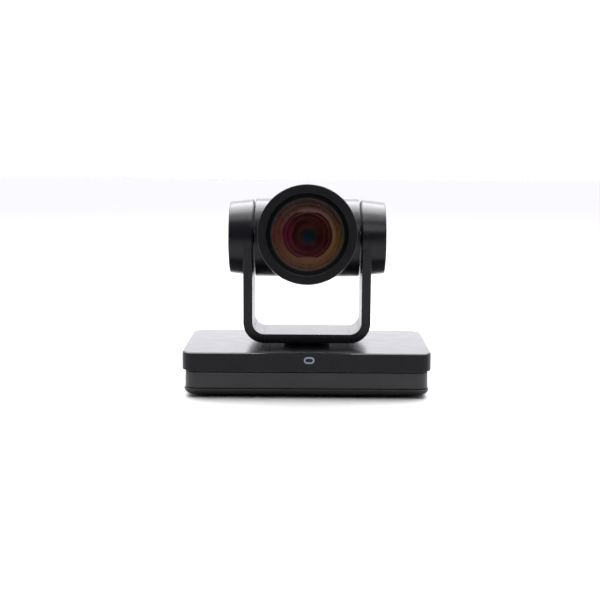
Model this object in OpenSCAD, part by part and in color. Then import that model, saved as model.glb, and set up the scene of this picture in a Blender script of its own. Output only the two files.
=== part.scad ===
// Pan-tilt-zoom camera: a flat base, a turning U-shaped yoke and a tilting head with a zoom lens.
// Frame: the origin is on the floor under the pan axis, +Z is up, the lens looks along -Y,
// and "left" is -X. Everything is in millimetres.

/* [Base] */
// Width of the base, left to right
base_w = 250; // [246:1:266]
// Depth of the base, front to back
base_d = 145; // [144:1:155]
// Height of the base's top face above the floor
base_h = 46; // [46:0.5:50]
// Plan radius of the base's corners
base_r = 14; // [10:1:18]
// Wall thickness of the base's plastic shells
base_wall = 2.2; // [2:0.1:2.6]

/* [Yoke] */
// Gap between the base's top face and the yoke
yoke_gap = 2.8; // [2.4:0.1:3.4]
// Width of the yoke over its two arms
yoke_w = 130.4; // [130:0.2:132]
// Depth of the yoke's foot, front to back
yoke_d = 64.5; // [60:0.5:70]
// Thickness of the yoke, outer face to inner face
yoke_t = 9.4; // [9.4:0.1:9.8]
// Outer radius of the yoke's two bends
yoke_r = 21.6; // [19:0.2:24]
// Wall thickness of the yoke's shells
yoke_wall = 1.8; // [1.6:0.1:1.9]
// Height of the tilt axis above the base's top face
tilt_rise = 109.4; // [108:0.2:120]
// Radius of the round tilt housings where they leave the arms
housing_r = 40; // [39.5:0.1:41]
// Width over the two tilt caps
caps_w = 160.8; // [160.8:0.2:164]

/* [Head] */
// Radius of the head's drum about the tilt axis
drum_r = 41; // [40.6:0.1:42]
// Width of the drum between the arms
drum_w = 107; // [106:0.2:107.4]
// Outer radius of the hood around the lens
hood_r = 51.2; // [50.6:0.1:52]
// Distance from the tilt axis to the hood's front face
hood_reach = 67; // [66:0.2:69]
// Height of the lens axis over the tilt axis
lens_rise = 1.6; // [0:0.1:2]
// Radius of the hood's opening at its front edge
mouth_r = 41.2; // [40.8:0.1:42]
// Free radius of the front lens
glass_r = 35.4; // [34.6:0.1:35.6]
// Upward tilt of the lens as the part is drawn
head_tilt = 6; // [-30:1:90]

/* [Drive] */
// Teeth on the pan gear
pan_teeth = 72; // [70:2:74]
// Teeth on the pan motor's pinion
pan_pinion_teeth = 18; // [17:1:20]
// Teeth on the tilt gear
tilt_teeth = 54; // [50:2:54]
// Teeth on the tilt motor's pinion
tilt_pinion_teeth = 18; // [17:1:18]
// Travel of the zoom carriage
zoom_travel = 16; // [10:1:17]

/* [Hidden] */
$fn = 64;
eps = 0.1;

// Colours
shell_dark = [0.12, 0.125, 0.14];
band_grey = [0.22, 0.22, 0.24];
pan_black = [0.08, 0.08, 0.09];
inner_black = [0.03, 0.03, 0.035];
steel = [0.62, 0.63, 0.65];
board_green = [0.05, 0.28, 0.14];
brass = [0.78, 0.62, 0.3];

// Base levels, from the floor up
foot_h = 1.5;
pan_top = 9;
seam_h = 1;
cover_h = 18.3;
cover_z = base_h - cover_h;
band_z = pan_top + seam_h;
band_top = cover_z - 2 * seam_h;
cover_top_t = 2.5;
cover_inner_z = base_h - cover_top_t;
pan_floor_z = 4;
lip_bottom_z = 7;

// Insets of the base's layers from the cover's outline
band_inset = 3.2;
rim_inset = 2.2;
lip_inset = 5;
lip_t = 2;

// Base fasteners and feet
screw_x = base_w / 2 - 19;
screw_y = base_d / 2 - 19.5;
screw_r = 1.45;
tap_r = 1.5;
pass_r = 1.7;
foot_r = 8;
foot_x = base_w / 2 - 35;
foot_y = base_d / 2 - 30;
bracket_dx = 70;
bracket_dy = 50;
bracket_tap_r = 1.65;
tripod_r = 2.55;
tripod_depth = 9;

// Rear recess with the connectors
panel_half = base_w / 2 - 27.5;
panel_y = base_d / 2 - 12.5;
panel_t = 1.5;
panel_depth = 9;
panel_flange_t = 1.2;
panel_z0 = pan_top + 0.3;
panel_z1 = base_h - 5;
board_z = 14;
board_t = 1.6;
board_top = board_z + board_t;
port_face_y = panel_y + panel_t + 0.7;
port_gap = 0.3;
dc_x = 0.87 * panel_half;
lan_x = 0.66 * panel_half;
usb_x = 0.43 * panel_half;
hdmi_x = 0.2 * panel_half;
sdi_x = -0.03 * panel_half;
serial_x = [-0.27 * panel_half, -0.45 * panel_half];
audio_x = [-0.62 * panel_half, -0.75 * panel_half];
dial_x = -0.89 * panel_half;
dc_z = board_top + 5.5;
sdi_z = board_top + 7.5;
serial_z = board_top + 6.6;
audio_z = board_top + 4.5;
dial_z = board_top + 7;
audio_bore_r = 1.8;
audio_depth = 14;
dial_r = 5;

// Pan drive
plate_z = base_h - 13;
plate_t = 2;
plate_top = plate_z + plate_t;
pan_bore_r = 18;
pan_od_r = 26;
pan_ball_r = 1.85;
pan_balls = 18;
bearing_w = 6;
bearing_z = plate_top - bearing_w;
cover_hole_r = 26;
turntable_r = 24;
cable_r = 11;
pan_module = 1;
pan_gear_z = plate_top + 1.6;
pan_gear_t = 4.2;
pan_centres = pan_module * (pan_teeth + pan_pinion_teeth) / 2;
motor_w = 28;
motor_screw = 11.5;
motor_h = 24;
motor_shaft_r = 2.5;
running_gap = 0.05;

// Yoke
yoke_z = base_h + yoke_gap;
tilt_z = base_h + tilt_rise;
bend_x = yoke_w / 2 - yoke_r;
arm_out = yoke_w / 2;
arm_in = arm_out - yoke_t;
seam_gap = 0.15;
housing_taper = 0.115;
boss_t = 0.6;
bracket_a = 3.4;
bracket_b = 5.4;
bracket_half = 20;
shaft_hole_r = 13;
cap_bore_r = 36.5;
cap_x = caps_w / 2;
cap_wall = 2;
turntable_top = yoke_z + bracket_a;
yoke_screw_circle = 17.5;

// Tilt drive
tilt_bore_r = 6;
tilt_od_r = 12;
tilt_ball_r = 1.6;
tilt_balls = 11;
tilt_bearing_w = 5;
tilt_bearing_x = arm_out - 4.2;
tilt_module = 0.6;
tilt_gear_x = arm_out - 0.7;
tilt_gear_t = 3.6;
tilt_centres = tilt_module * (tilt_teeth + tilt_pinion_teeth) / 2;
tilt_motor_r = 12.5;
tilt_motor_x = arm_out + 3.8;
tilt_motor_t = 8;

// Head
head_wall = 2.2;
drum_half = drum_w / 2;
drum_edge = 1.4;
split_y = 14;
horn_start = 2;
horn_r = drum_r - lens_rise - 0.2;
horn_end = hood_reach - 21;
hood_seam = hood_reach - 15;
frame_x = drum_half - 3.9;
frame_t = 2;

// Lens, measured forwards from the tilt axis along the lens axis
cup_front = hood_reach - 11;
cup_back = cup_front - 14;
cup_r = glass_r + 4.1;
lens_r = glass_r + 0.9;
barrel_r = 30;
bore_r = 27.5;
barrel_back = -21;
wall_t = 2;
rod_r = 1.25;
rod_off = 23;
lead_r = 1.5;
zoom_len = 8;
zoom_front = 13 + zoom_travel + zoom_len;
zoom_cell_r = 19;
zoom_glass_r = 15.5;
iris_front = 10;
iris_r = 8;
blade_t = 0.4;
focus_front = -4;
focus_len = 7;
focus_cell_r = 13;
focus_glass_r = 10;
can_r = 5;
can_len = 12;

// ---------------------------------------------------------------- shared shapes

// Rounded rectangle of the base's plan, a given distance inside the cover's outline
module plan(inset) {
    w = base_w - 2 * inset;
    d = base_d - 2 * inset;
    r = max(base_r - inset, 1);
    square([w - 2 * r, d], center = true);
    square([w, d - 2 * r], center = true);
    for (x = [-1, 1], y = [-1, 1])
        translate([x * (w / 2 - r), y * (d / 2 - r)]) circle(r);
}

module slab(inset, z0, z1) {
    translate([0, 0, z0]) linear_extrude(z1 - z0) plan(inset);
}

module tube(r_out, r_in, z0, z1) {
    translate([0, 0, z0]) difference() {
        cylinder(r = r_out, h = z1 - z0);
        translate([0, 0, -eps]) cylinder(r = r_in, h = z1 - z0 + 2 * eps);
    }
}

module rod(r, z0, z1) {
    translate([0, 0, z0]) cylinder(r = r, h = z1 - z0);
}

// Box from its lowest corner to its highest
module block(lo, hi) {
    translate(lo) cube(hi - lo);
}

module corners(x, y) {
    for (sx = [-1, 1], sy = [-1, 1]) translate([sx * x, sy * y, 0]) children();
}

// Turns a shape made along +Z so that it lies along +Y
module along_y() {
    rotate([-90, 0, 0]) children();
}

// Turns a shape made along +Z so that it lies along the tilt axis, on the left or the right
module on_axis(side) {
    translate([0, 0, tilt_z]) mirror([side < 0 ? 1 : 0, 0, 0]) rotate([0, 90, 0]) children();
}

module head_pose() {
    translate([0, 0, tilt_z]) rotate([-head_tilt, 0, 0]) children();
}

// Lens frame: +Z runs forwards along the lens axis, +Y is up
module lens_pose() {
    head_pose() translate([0, 0, lens_rise]) rotate([90, 0, 0]) children();
}

// Ball bearing rings with a groove that leaves the balls a running gap
function ball_circle(bore, od) = (bore + od) / 2;

module groove(bore, od, ball) {
    rotate_extrude() translate([ball_circle(bore, od), 0]) circle(ball + 0.15);
}

module outer_race(bore, od, ball, w) {
    difference() {
        tube(od, ball_circle(bore, od) + 0.65 * ball, -w / 2, w / 2);
        groove(bore, od, ball);
    }
}

module inner_race(bore, od, ball, w) {
    difference() {
        tube(ball_circle(bore, od) - 0.65 * ball, bore, -w / 2, w / 2);
        groove(bore, od, ball);
    }
}

module ball_row(bore, od, ball, count) {
    for (i = [0 : count - 1])
        rotate(i * 360 / count) translate([ball_circle(bore, od), 0, 0]) sphere(ball);
}

// Involute spur gear; a tooth points along +X at turn = 0
pressure = 20;
flank_steps = 3;
backlash = 0.1;

function involute(a) = tan(a) * 180 / PI - a;
function polar(r, a) = [r * cos(a), r * sin(a)];
function half_tooth(r, base, pitch, teeth) =
    90 / teeth - backlash / pitch * 180 / PI + involute(pressure)
    - involute(acos(min(1, base / r)));

module gear_outline(m, teeth) {
    pitch = m * teeth / 2;
    base = pitch * cos(pressure);
    root = pitch - 1.25 * m;
    tip = pitch + m;
    start = max(base, root + 0.1 * m);
    radii = [for (i = [0 : flank_steps]) start + (tip - start) * i / flank_steps];
    polygon([
        for (t = [0 : teeth - 1])
            let (mid = t * 360 / teeth, foot = half_tooth(start, base, pitch, teeth))
            each concat(
                [polar(root, mid - foot)],
                [for (r = radii) polar(r, mid - half_tooth(r, base, pitch, teeth))],
                [for (i = [flank_steps : -1 : 0])
                    polar(radii[i], mid + half_tooth(radii[i], base, pitch, teeth))],
                [polar(root, mid + foot)])
    ]);
}

module gear(m, teeth, t, turn) {
    linear_extrude(t) rotate(turn) gear_outline(m, teeth);
}

// ---------------------------------------------------------------- base

module base_cover() {
    boss_r = 5;
    color(shell_dark) difference() {
        union() {
            difference() {
                slab(0, cover_z, base_h);
                slab(base_wall, cover_z - 1, cover_inner_z);
            }
            corners(screw_x, screw_y) rod(boss_r, cover_z + eps, cover_inner_z + 0.5);
        }
        rod(cover_hole_r, cover_z, base_h + 1);
        corners(screw_x, screw_y) rod(tap_r, cover_z - 1, base_h - 6);
        block([-panel_half - 0.5, panel_y - 4, cover_z - 1], [panel_half + 0.5, base_d, panel_z1 + 0.2]);
    }
}

module base_frame() {
    boss_r = 5;
    web_t = 2;
    color(band_grey) difference() {
        union() {
            difference() {
                union() {
                    slab(band_inset, band_z, band_top);
                    slab(lip_inset, lip_bottom_z, band_top + 4);
                }
                slab(lip_inset + lip_t, lip_bottom_z - 1, band_top + 5);
            }
            corners(screw_x, screw_y) rod(boss_r, lip_bottom_z, cover_z);
            for (sx = [-1, 1], sy = [-1, 1])
                translate([sx * (screw_x + 6.5), sy * screw_y, band_z + 7])
                    cube([12, web_t, 14], center = true);
        }
        corners(screw_x, screw_y) rod(pass_r, lip_bottom_z - 1, cover_z + 1);
        block([-panel_half - 0.5, panel_y - 4, 0], [panel_half + 0.5, base_d, base_h]);
    }
}

// Dished tray: its side curls in under the base
module pan_dish() {
    steps = [[rim_inset, pan_top], [3.2, 6.5], [5.2, 4.5], [8.8, 2.8], [14.2, foot_h + 0.2]];
    hull() {
        for (s = steps) slab(s[0], s[1] - 0.2, s[1], $fn = 32);
    }
}

module bottom_pan() {
    screw_boss_r = 5.5;
    counterbore_r = 3.2;
    color(pan_black) difference() {
        union() {
            difference() {
                pan_dish();
                slab(8.2, pan_floor_z, lip_bottom_z + 0.1);
                slab(lip_inset - 0.3, lip_bottom_z - 0.1, pan_top + 1);
            }
            corners(screw_x, screw_y) rod(screw_boss_r, foot_h + 1, lip_bottom_z);
            rod(9, foot_h + 1, 10);
            corners(bracket_dx / 2, bracket_dy / 2) rod(4.5, foot_h + 1, pan_top);
            for (x = [-1, 1], y = [panel_y - 34, panel_y - 10])
                translate([x * (panel_half - 11.5), y, 0]) rod(3, foot_h + 1, board_z);
        }
        corners(screw_x, screw_y) {
            rod(pass_r, 0, pan_top);
            rod(counterbore_r, 0, pan_floor_z);
        }
        corners(bracket_dx / 2, bracket_dy / 2) rod(bracket_tap_r, 0, pan_top - 0.5);
        rod(5, 0, 11);
    }
}

module rubber_feet() {
    color(inner_black) corners(foot_x, foot_y) rod(foot_r, 0, foot_h);
}

module tripod_insert() {
    top = 11.5;
    color(brass) difference() {
        union() {
            rod(4.98, foot_h, 10);
            rod(7, 10, top);
        }
        rod(tripod_r, foot_h - 1, foot_h + tripod_depth);
    }
}

module bottom_screws() {
    head_r = 2.8;
    head_t = 2;
    socket_r = 1.4;
    color(steel) corners(screw_x, screw_y) difference() {
        union() {
            rod(head_r, pan_floor_z - head_t, pan_floor_z);
            rod(screw_r, pan_floor_z - eps, base_h - 7);
        }
        translate([0, 0, pan_floor_z - head_t - eps]) cylinder(r = socket_r, h = 1.2, $fn = 6);
    }
}

// ---------------------------------------------------------------- rear connectors

// Cut through the panel for a rectangular port of width w between two heights
module port_cut(x, w, z0, z1) {
    block([x - w / 2 - port_gap, panel_y - 1, z0 - port_gap],
          [x + w / 2 + port_gap, panel_y + panel_t + 1, z1 + port_gap]);
}

module round_cut(x, z, r) {
    translate([x, panel_y - 1, z]) along_y() cylinder(r = r + port_gap, h = panel_t + 2);
}

hdmi_w = 15.2;
hdmi_t = 6;
usb_w = 14.6;
usb_t = 7.2;
lan_w = 16;
lan_t = 13.6;
bnc_r = 4.85;
din_r = 6;
nose_r = 3.4;
dc_w = 9.4;
dc_t = 11;

module rear_panel() {
    f = panel_flange_t;
    color(pan_black) difference() {
        block([-panel_half, panel_y, panel_z0], [panel_half, panel_y + panel_depth, panel_z1]);
        block([-panel_half + f, panel_y + panel_t, panel_z0 + f],
              [panel_half - f, panel_y + panel_depth + 1, panel_z1 - f]);
        port_cut(hdmi_x, hdmi_w, board_top, board_top + hdmi_t);
        port_cut(usb_x, usb_w, board_top, board_top + usb_t);
        port_cut(lan_x, lan_w, board_top, board_top + lan_t);
        port_cut(dc_x, dc_w, board_top, board_top + dc_t);
        round_cut(sdi_x, sdi_z, bnc_r);
        for (x = serial_x) round_cut(x, serial_z, din_r);
        for (x = audio_x) round_cut(x, audio_z, nose_r);
        round_cut(dial_x, dial_z, dial_r);
    }
}

// Rectangular metal-shell port standing on the board, with its socket and contact tongue
module tongue_port(x, w, t, depth, wall, tongue_w, tongue_t) {
    mid = board_top + t / 2;
    difference() {
        block([x - w / 2, port_face_y - depth, board_top], [x + w / 2, port_face_y, board_top + t]);
        block([x - w / 2 + wall, port_face_y - depth + 3, board_top + wall],
              [x + w / 2 - wall, port_face_y + 1, board_top + t - wall]);
    }
    block([x - tongue_w / 2, port_face_y - depth + 2, mid - tongue_t / 2],
          [x + tongue_w / 2, port_face_y - 1, mid + tongue_t / 2]);
}

module hdmi_port() {
    color(steel) tongue_port(hdmi_x, hdmi_w, hdmi_t, 13, 0.7, 10.2, 1.2);
}

module usb_port() {
    color(steel) tongue_port(usb_x, usb_w, usb_t, 16, 0.9, 11, 1.9);
}

// Network socket with its latch notch at the top
module lan_port() {
    depth = 17;
    color(steel) difference() {
        block([lan_x - lan_w / 2, port_face_y - depth, board_top],
              [lan_x + lan_w / 2, port_face_y, board_top + lan_t]);
        block([lan_x - 5.9, port_face_y - 12, board_top + 1.6],
              [lan_x + 5.9, port_face_y + 1, board_top + 8.8]);
        block([lan_x - 3, port_face_y - 9, board_top + 8],
              [lan_x + 3, port_face_y + 1, board_top + 11]);
    }
}

// Coaxial socket with two bayonet lugs, an insulator and a centre contact
module sdi_port() {
    nose = panel_y + panel_depth + 0.4;
    body_w = 14;
    color(steel) {
        difference() {
            union() {
                block([sdi_x - body_w / 2, panel_y - 12, board_top],
                      [sdi_x + body_w / 2, panel_y - 0.5, board_top + 14.5]);
                translate([sdi_x, panel_y - 1, sdi_z]) along_y()
                    cylinder(r = bnc_r, h = nose - panel_y + 1);
                for (side = [-1, 1])
                    translate([sdi_x + side * (bnc_r - 0.5), nose - 2, sdi_z]) rotate([0, side * 90, 0])
                        cylinder(r = 0.95, h = 1.4);
            }
            translate([sdi_x, nose - 8, sdi_z]) along_y() cylinder(r = 4.1, h = 9);
        }
        translate([sdi_x, nose - 8.5, sdi_z]) along_y() cylinder(r = 2.1, h = 4.5);
        translate([sdi_x, nose - 8.5, sdi_z]) along_y() cylinder(r = 0.7, h = 6.5);
    }
}

// Two round eight-pin serial sockets
module serial_ports() {
    pin_circle = 2.8;
    color(inner_black) for (x = serial_x) {
        difference() {
            union() {
                block([x - 6.8, panel_y - 12, board_top], [x + 6.8, panel_y - 0.5, board_top + 13.2]);
                translate([x, panel_y - 1, serial_z]) along_y()
                    cylinder(r = din_r, h = port_face_y - panel_y + 1);
            }
            translate([x, port_face_y - 6, serial_z]) along_y() tube(4.75, 3.9, 0, 7);
            for (i = [0 : 7]) translate([x, port_face_y - 5, serial_z]) along_y()
                rotate(i * 45) translate([pin_circle, 0, 0]) cylinder(r = 0.45, h = 6);
        }
    }
}

module audio_jacks() {
    color(inner_black) for (x = audio_x) difference() {
        union() {
            block([x - 5, panel_y - 14, board_top], [x + 5, panel_y - 0.5, board_top + 9]);
            translate([x, panel_y - 1, audio_z]) along_y()
                cylinder(r = nose_r, h = port_face_y - panel_y + 1);
        }
        translate([x, port_face_y - audio_depth, audio_z]) along_y()
            cylinder(r = audio_bore_r, h = audio_depth + 1);
    }
}

module dc_jack() {
    depth = 14;
    color(inner_black) {
        difference() {
            block([dc_x - dc_w / 2, port_face_y - depth, board_top],
                  [dc_x + dc_w / 2, port_face_y, board_top + dc_t]);
            translate([dc_x, port_face_y - 10, dc_z]) along_y() cylinder(r = 3.1, h = 11);
        }
        translate([dc_x, port_face_y - 10.5, dc_z]) along_y() cylinder(r = 1.05, h = 9);
    }
}

// Rotary selector: a slotted dial that turns in the panel on its shaft
module selector_dial() {
    color(band_grey) difference() {
        union() {
            translate([dial_x, panel_y - 4, dial_z]) along_y() cylinder(r = dial_r, h = panel_t + 6);
            translate([dial_x, panel_y - 9, dial_z]) along_y() cylinder(r = 2, h = 6);
        }
        translate([dial_x, panel_y + panel_t + 2.2, dial_z]) cube([7.4, 2, 1.2], center = true);
        translate([dial_x, panel_y + panel_t + 2.2, dial_z + 3.2]) cube([1.2, 2, 2], center = true);
    }
}

// ---------------------------------------------------------------- base electronics and drive

// Circuit board with its chips and the switch body behind the selector dial
module main_board() {
    y0 = panel_y - 40;
    chips = [[-78, 5, 14, 10, 1.4], [-56, 12, 8, 8, 1.2], [-20, 4, 18, 12, 1.6], [6, 14, 9, 6, 3],
             [70, 3, 16, 16, 1.5], [62, 5, 6, 10, 5], [-91, 6, 9, 9, 3.4]];
    color(board_green) difference() {
        union() {
            block([-panel_half + 4, y0, board_z], [panel_half - 4, panel_y - 2, board_top]);
            for (c = chips)
                block([c[0], y0 + c[1], board_top - eps],
                      [c[0] + c[2], y0 + c[1] + c[3], board_top + c[4]]);
            block([dial_x - 5, panel_y - 16, board_top - eps],
                  [dial_x + 5, panel_y - 5, board_top + 12]);
        }
        translate([dial_x, panel_y - 11, dial_z]) along_y() cylinder(r = 2 + running_gap, h = 7);
    }
}

// Finned cooler on the main processor
module heat_sink() {
    x0 = 22;
    w = 38;
    y0 = panel_y - 37;
    d = 20;
    fins = 9;
    fin_t = 1.4;
    pitch = (w - fin_t) / (fins - 1);
    color(steel) {
        block([x0, y0, board_top], [x0 + w, y0 + d, board_top + 2.5]);
        for (i = [0 : fins - 1])
            block([x0 + i * pitch, y0, board_top + 2.4],
                  [x0 + i * pitch + fin_t, y0 + d, board_top + 10]);
    }
}

// Steel plate on four posts, with the pan bearing's seat and the pan motor's opening
module pan_plate() {
    seat_wall = 3;
    color(steel) difference() {
        union() {
            block([-80, -46, plate_z], [80, 32, plate_top]);
            rod(pan_od_r + seat_wall, bearing_z - 1.2, plate_top);
            for (x = [-74, 74], y = [-40, 13]) translate([x, y, 0]) rod(4, pan_floor_z, plate_z + 1);
        }
        rod(pan_od_r + 0.01, bearing_z, plate_top + 1);
        rod(pan_od_r - 2, bearing_z - 2, bearing_z + 1);
        translate([-pan_centres, 0, 0])
            rod(pan_module * pan_pinion_teeth / 2 + 1.6, plate_z - 1, plate_top + 1);
        translate([-pan_centres, 0, 0]) corners(motor_screw, motor_screw)
            rod(pass_r, plate_z - 1, plate_top + 1);
    }
}

module pan_bearing_outer() {
    color(steel) translate([0, 0, bearing_z + bearing_w / 2])
        outer_race(pan_bore_r, pan_od_r, pan_ball_r, bearing_w);
}

// Stepper motor under the plate, with end flanges and a laminated middle
module pan_motor() {
    end_t = 6;
    z0 = plate_z - motor_h;
    color(pan_black) translate([-pan_centres, 0, 0]) difference() {
        union() {
            translate([0, 0, z0 + motor_h / 2]) cube([motor_w - 2, motor_w - 2, motor_h], center = true);
            for (z = [z0 + end_t / 2, plate_z - end_t / 2])
                translate([0, 0, z]) cube([motor_w, motor_w, end_t], center = true);
        }
        rod(motor_shaft_r + running_gap, z0 + 3, plate_z + 1);
        corners(motor_screw, motor_screw) rod(tap_r, plate_z - 5, plate_z + 1);
    }
}

module pan_pinion() {
    t = pan_gear_t + 0.4;
    color(brass) translate([-pan_centres, 0, 0]) {
        translate([0, 0, pan_gear_z - 0.2])
            gear(pan_module, pan_pinion_teeth, t, 180 / pan_pinion_teeth);
        rod(motor_shaft_r, plate_z - motor_h + 4, pan_gear_z + t);
    }
}

// ---------------------------------------------------------------- yoke

// Front outline of the yoke, a given distance inside its outer face, up to the tilt axis
module u_outline(inset) {
    half = arm_out - inset;
    translate([-half, yoke_z + yoke_r]) square([2 * half, tilt_z - yoke_z - yoke_r]);
    translate([-bend_x, yoke_z + inset]) square([2 * bend_x, yoke_r]);
    for (side = [-1, 1]) translate([side * bend_x, yoke_z + yoke_r]) circle(yoke_r - inset);
}

module u_band(outer, inner, depth) {
    translate([0, depth / 2, 0]) rotate([90, 0, 0]) linear_extrude(depth) difference() {
        u_outline(outer);
        u_outline(inner);
    }
}

// Side outline of the yoke: straight edges that rise from the foot to meet the round housing
module side_outline(inset) {
    foot = yoke_d / 2 - inset;
    r = housing_r - 0.5 - inset;
    drop = tilt_z - yoke_z;
    touch = atan2(-drop, foot) + acos(r / norm([foot, drop]));
    meet = 0.996 * r;
    polygon([[-foot, yoke_z - 1], [foot, yoke_z - 1],
             [meet * cos(touch), tilt_z + meet * sin(touch)], [0, tilt_z + 2],
             [-meet * cos(touch), tilt_z + meet * sin(touch)]]);
}

module side_body(inset) {
    rotate([90, 0, 90]) linear_extrude(2 * yoke_w, center = true) side_outline(inset);
}

// Everything outside the middle stretch of the yoke, on one side
module beyond_seam(side) {
    x0 = bend_x + seam_gap;
    block([side > 0 ? x0 : -yoke_w, -yoke_d, yoke_z - 1], [side > 0 ? yoke_w : -x0, yoke_d, tilt_z + 1]);
}

module arm(side) {
    cone_h = yoke_t;
    difference() {
        union() {
            intersection() {
                u_band(0, yoke_t, 2 * yoke_d);
                side_body(0);
                beyond_seam(side);
            }
            on_axis(side) translate([0, 0, arm_in])
                cylinder(r1 = housing_r, r2 = housing_r - housing_taper * cone_h, h = cone_h);
            on_axis(side) rod(housing_r - 2, arm_in - boss_t, arm_in + 1);
        }
        intersection() {
            u_band(yoke_wall, yoke_t - yoke_wall, 2 * yoke_d);
            side_body(yoke_wall);
        }
        on_axis(side) rod(cap_bore_r, arm_in + yoke_wall, arm_out + 1);
        on_axis(side) rod(shaft_hole_r, arm_in - 2, arm_out);
    }
}

module left_arm() {
    color(shell_dark) arm(-1);
}

module right_arm() {
    color(shell_dark) arm(1);
}

// Middle stretch of the yoke's foot, with the hole for the turntable
module yoke_bridge() {
    x0 = bend_x - seam_gap;
    color(shell_dark) difference() {
        intersection() {
            u_band(0, yoke_t, 2 * yoke_d);
            side_body(0);
            block([-x0, -yoke_d, yoke_z - 1], [x0, yoke_d, tilt_z]);
        }
        intersection() {
            u_band(yoke_wall, yoke_t - yoke_wall, 2 * yoke_d);
            side_body(yoke_wall);
        }
        rod(turntable_r + 0.4, yoke_z - 1, yoke_z + yoke_wall + 1);
    }
}

// Bent steel U that carries the head, with a seat ring for each tilt bearing
module yoke_bracket() {
    plate_x = arm_out - bracket_b;
    seat_r = tilt_od_r + 2.4;
    color(steel) difference() {
        union() {
            u_band(bracket_a, bracket_b, 2 * bracket_half);
            for (side = [-1, 1]) on_axis(side) {
                rod(bracket_half, plate_x, plate_x + 2);
                rod(seat_r, tilt_bearing_x - tilt_bearing_w / 2, tilt_bearing_x + tilt_bearing_w / 2);
            }
        }
        for (side = [-1, 1]) on_axis(side) rod(tilt_od_r + 0.01, plate_x - 3, plate_x + 6);
        rod(cable_r, yoke_z, yoke_z + 12);
        for (i = [0 : 3]) rotate(45 + 90 * i) translate([yoke_screw_circle, 0, 0])
            rod(pass_r, yoke_z, yoke_z + 12);
    }
}

// Hollow pan shaft: bearing seat, shoulder, gear seat and turntable
module pan_spindle() {
    seat = pan_bore_r - 0.02;
    gear_seat = pan_bore_r + 1;
    shoulder = pan_bore_r + 2.2;
    color(steel) difference() {
        rotate_extrude() polygon([
            [cable_r, bearing_z - 2], [seat, bearing_z - 2], [seat, plate_top],
            [shoulder, plate_top], [shoulder, pan_gear_z], [gear_seat, pan_gear_z],
            [gear_seat, pan_gear_z + pan_gear_t], [turntable_r, pan_gear_z + pan_gear_t],
            [turntable_r, turntable_top], [cable_r, turntable_top]]);
        for (i = [0 : 3]) rotate(45 + 90 * i) translate([yoke_screw_circle, 0, 0])
            rod(tap_r, turntable_top - 9, turntable_top + 1);
    }
}

module pan_gear() {
    hole_circle = 28;
    color(steel) difference() {
        translate([0, 0, pan_gear_z]) gear(pan_module, pan_teeth, pan_gear_t, 180);
        rod(pan_bore_r + 1.02, pan_gear_z - 1, pan_gear_z + pan_gear_t + 1);
        for (i = [0 : 7]) rotate(22.5 + 45 * i) translate([hole_circle, 0, 0])
            rod(3.5, pan_gear_z - 1, pan_gear_z + pan_gear_t + 1);
    }
}

module pan_bearing_inner() {
    color(steel) translate([0, 0, bearing_z + bearing_w / 2])
        inner_race(pan_bore_r, pan_od_r, pan_ball_r, bearing_w);
}

// Round cap that closes a tilt housing: end disc, tapered wall and a spigot into the arm
module tilt_cap(side) {
    rim_r = housing_r - housing_taper * yoke_t;
    x0 = arm_out + 0.2;
    spigot_x = arm_out - 3;
    spigot_r = cap_bore_r - 0.2;
    inner_r = spigot_r - 1.7;
    edge = 1.6;
    edge_r = rim_r - housing_taper * (cap_x - edge - x0);
    on_axis(side) rotate_extrude() polygon([
        [0, cap_x - cap_wall], [0, cap_x], [edge_r - edge, cap_x], [edge_r, cap_x - edge],
        [rim_r, x0], [spigot_r, x0], [spigot_r, spigot_x], [inner_r, spigot_x],
        [inner_r, cap_x - cap_wall]]);
}

module left_cap() {
    color(shell_dark) tilt_cap(-1);
}

module right_cap() {
    color(shell_dark) tilt_cap(1);
}

// Flat stepper motor in the left housing, on two spacers from the bracket
module tilt_motor() {
    ear = 17;
    flange_t = 1.2;
    bracket_face = arm_out - bracket_a;
    color(steel) on_axis(-1) translate([tilt_centres, 0, 0]) difference() {
        union() {
            rod(tilt_motor_r, tilt_motor_x, tilt_motor_x + tilt_motor_t);
            block([-5, -ear - 3, tilt_motor_x], [5, ear + 3, tilt_motor_x + flange_t]);
            for (y = [-ear, ear]) translate([0, y, 0]) rod(2, bracket_face, tilt_motor_x + eps);
        }
        rod(1.5 + running_gap, tilt_motor_x - 1, tilt_motor_x + tilt_motor_t - 2);
    }
}

module tilt_bearing_outers() {
    color(steel) for (side = [-1, 1]) on_axis(side) translate([0, 0, tilt_bearing_x])
        outer_race(tilt_bore_r, tilt_od_r, tilt_ball_r, tilt_bearing_w);
}

module bearing_balls() {
    color(steel) {
        translate([0, 0, bearing_z + bearing_w / 2])
            ball_row(pan_bore_r, pan_od_r, pan_ball_r, pan_balls);
        for (side = [-1, 1]) on_axis(side) translate([0, 0, tilt_bearing_x])
            ball_row(tilt_bore_r, tilt_od_r, tilt_ball_r, tilt_balls);
    }
}

// Four screws that hold the bracket on the turntable
module yoke_screws() {
    head_z = yoke_z + bracket_b;
    color(steel) for (i = [0 : 3]) rotate(45 + 90 * i) translate([yoke_screw_circle, 0, 0]) {
        rod(2.6, head_z, head_z + 1.8);
        rod(screw_r, turntable_top - 8, head_z + eps);
    }
}

// Cable through the spindle and the flat ribbon that runs round to the right arm
module yoke_harness() {
    ribbon_a = 6.4;
    ribbon_b = 7;
    ribbon_w = 12;
    color(inner_black) {
        intersection() {
            u_band(ribbon_a, ribbon_b, ribbon_w);
            block([0, -yoke_d, yoke_z], [yoke_w, yoke_d, tilt_z - 18]);
        }
        rod(4, bearing_z - 4, yoke_z + ribbon_a + 0.2);
    }
}

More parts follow.
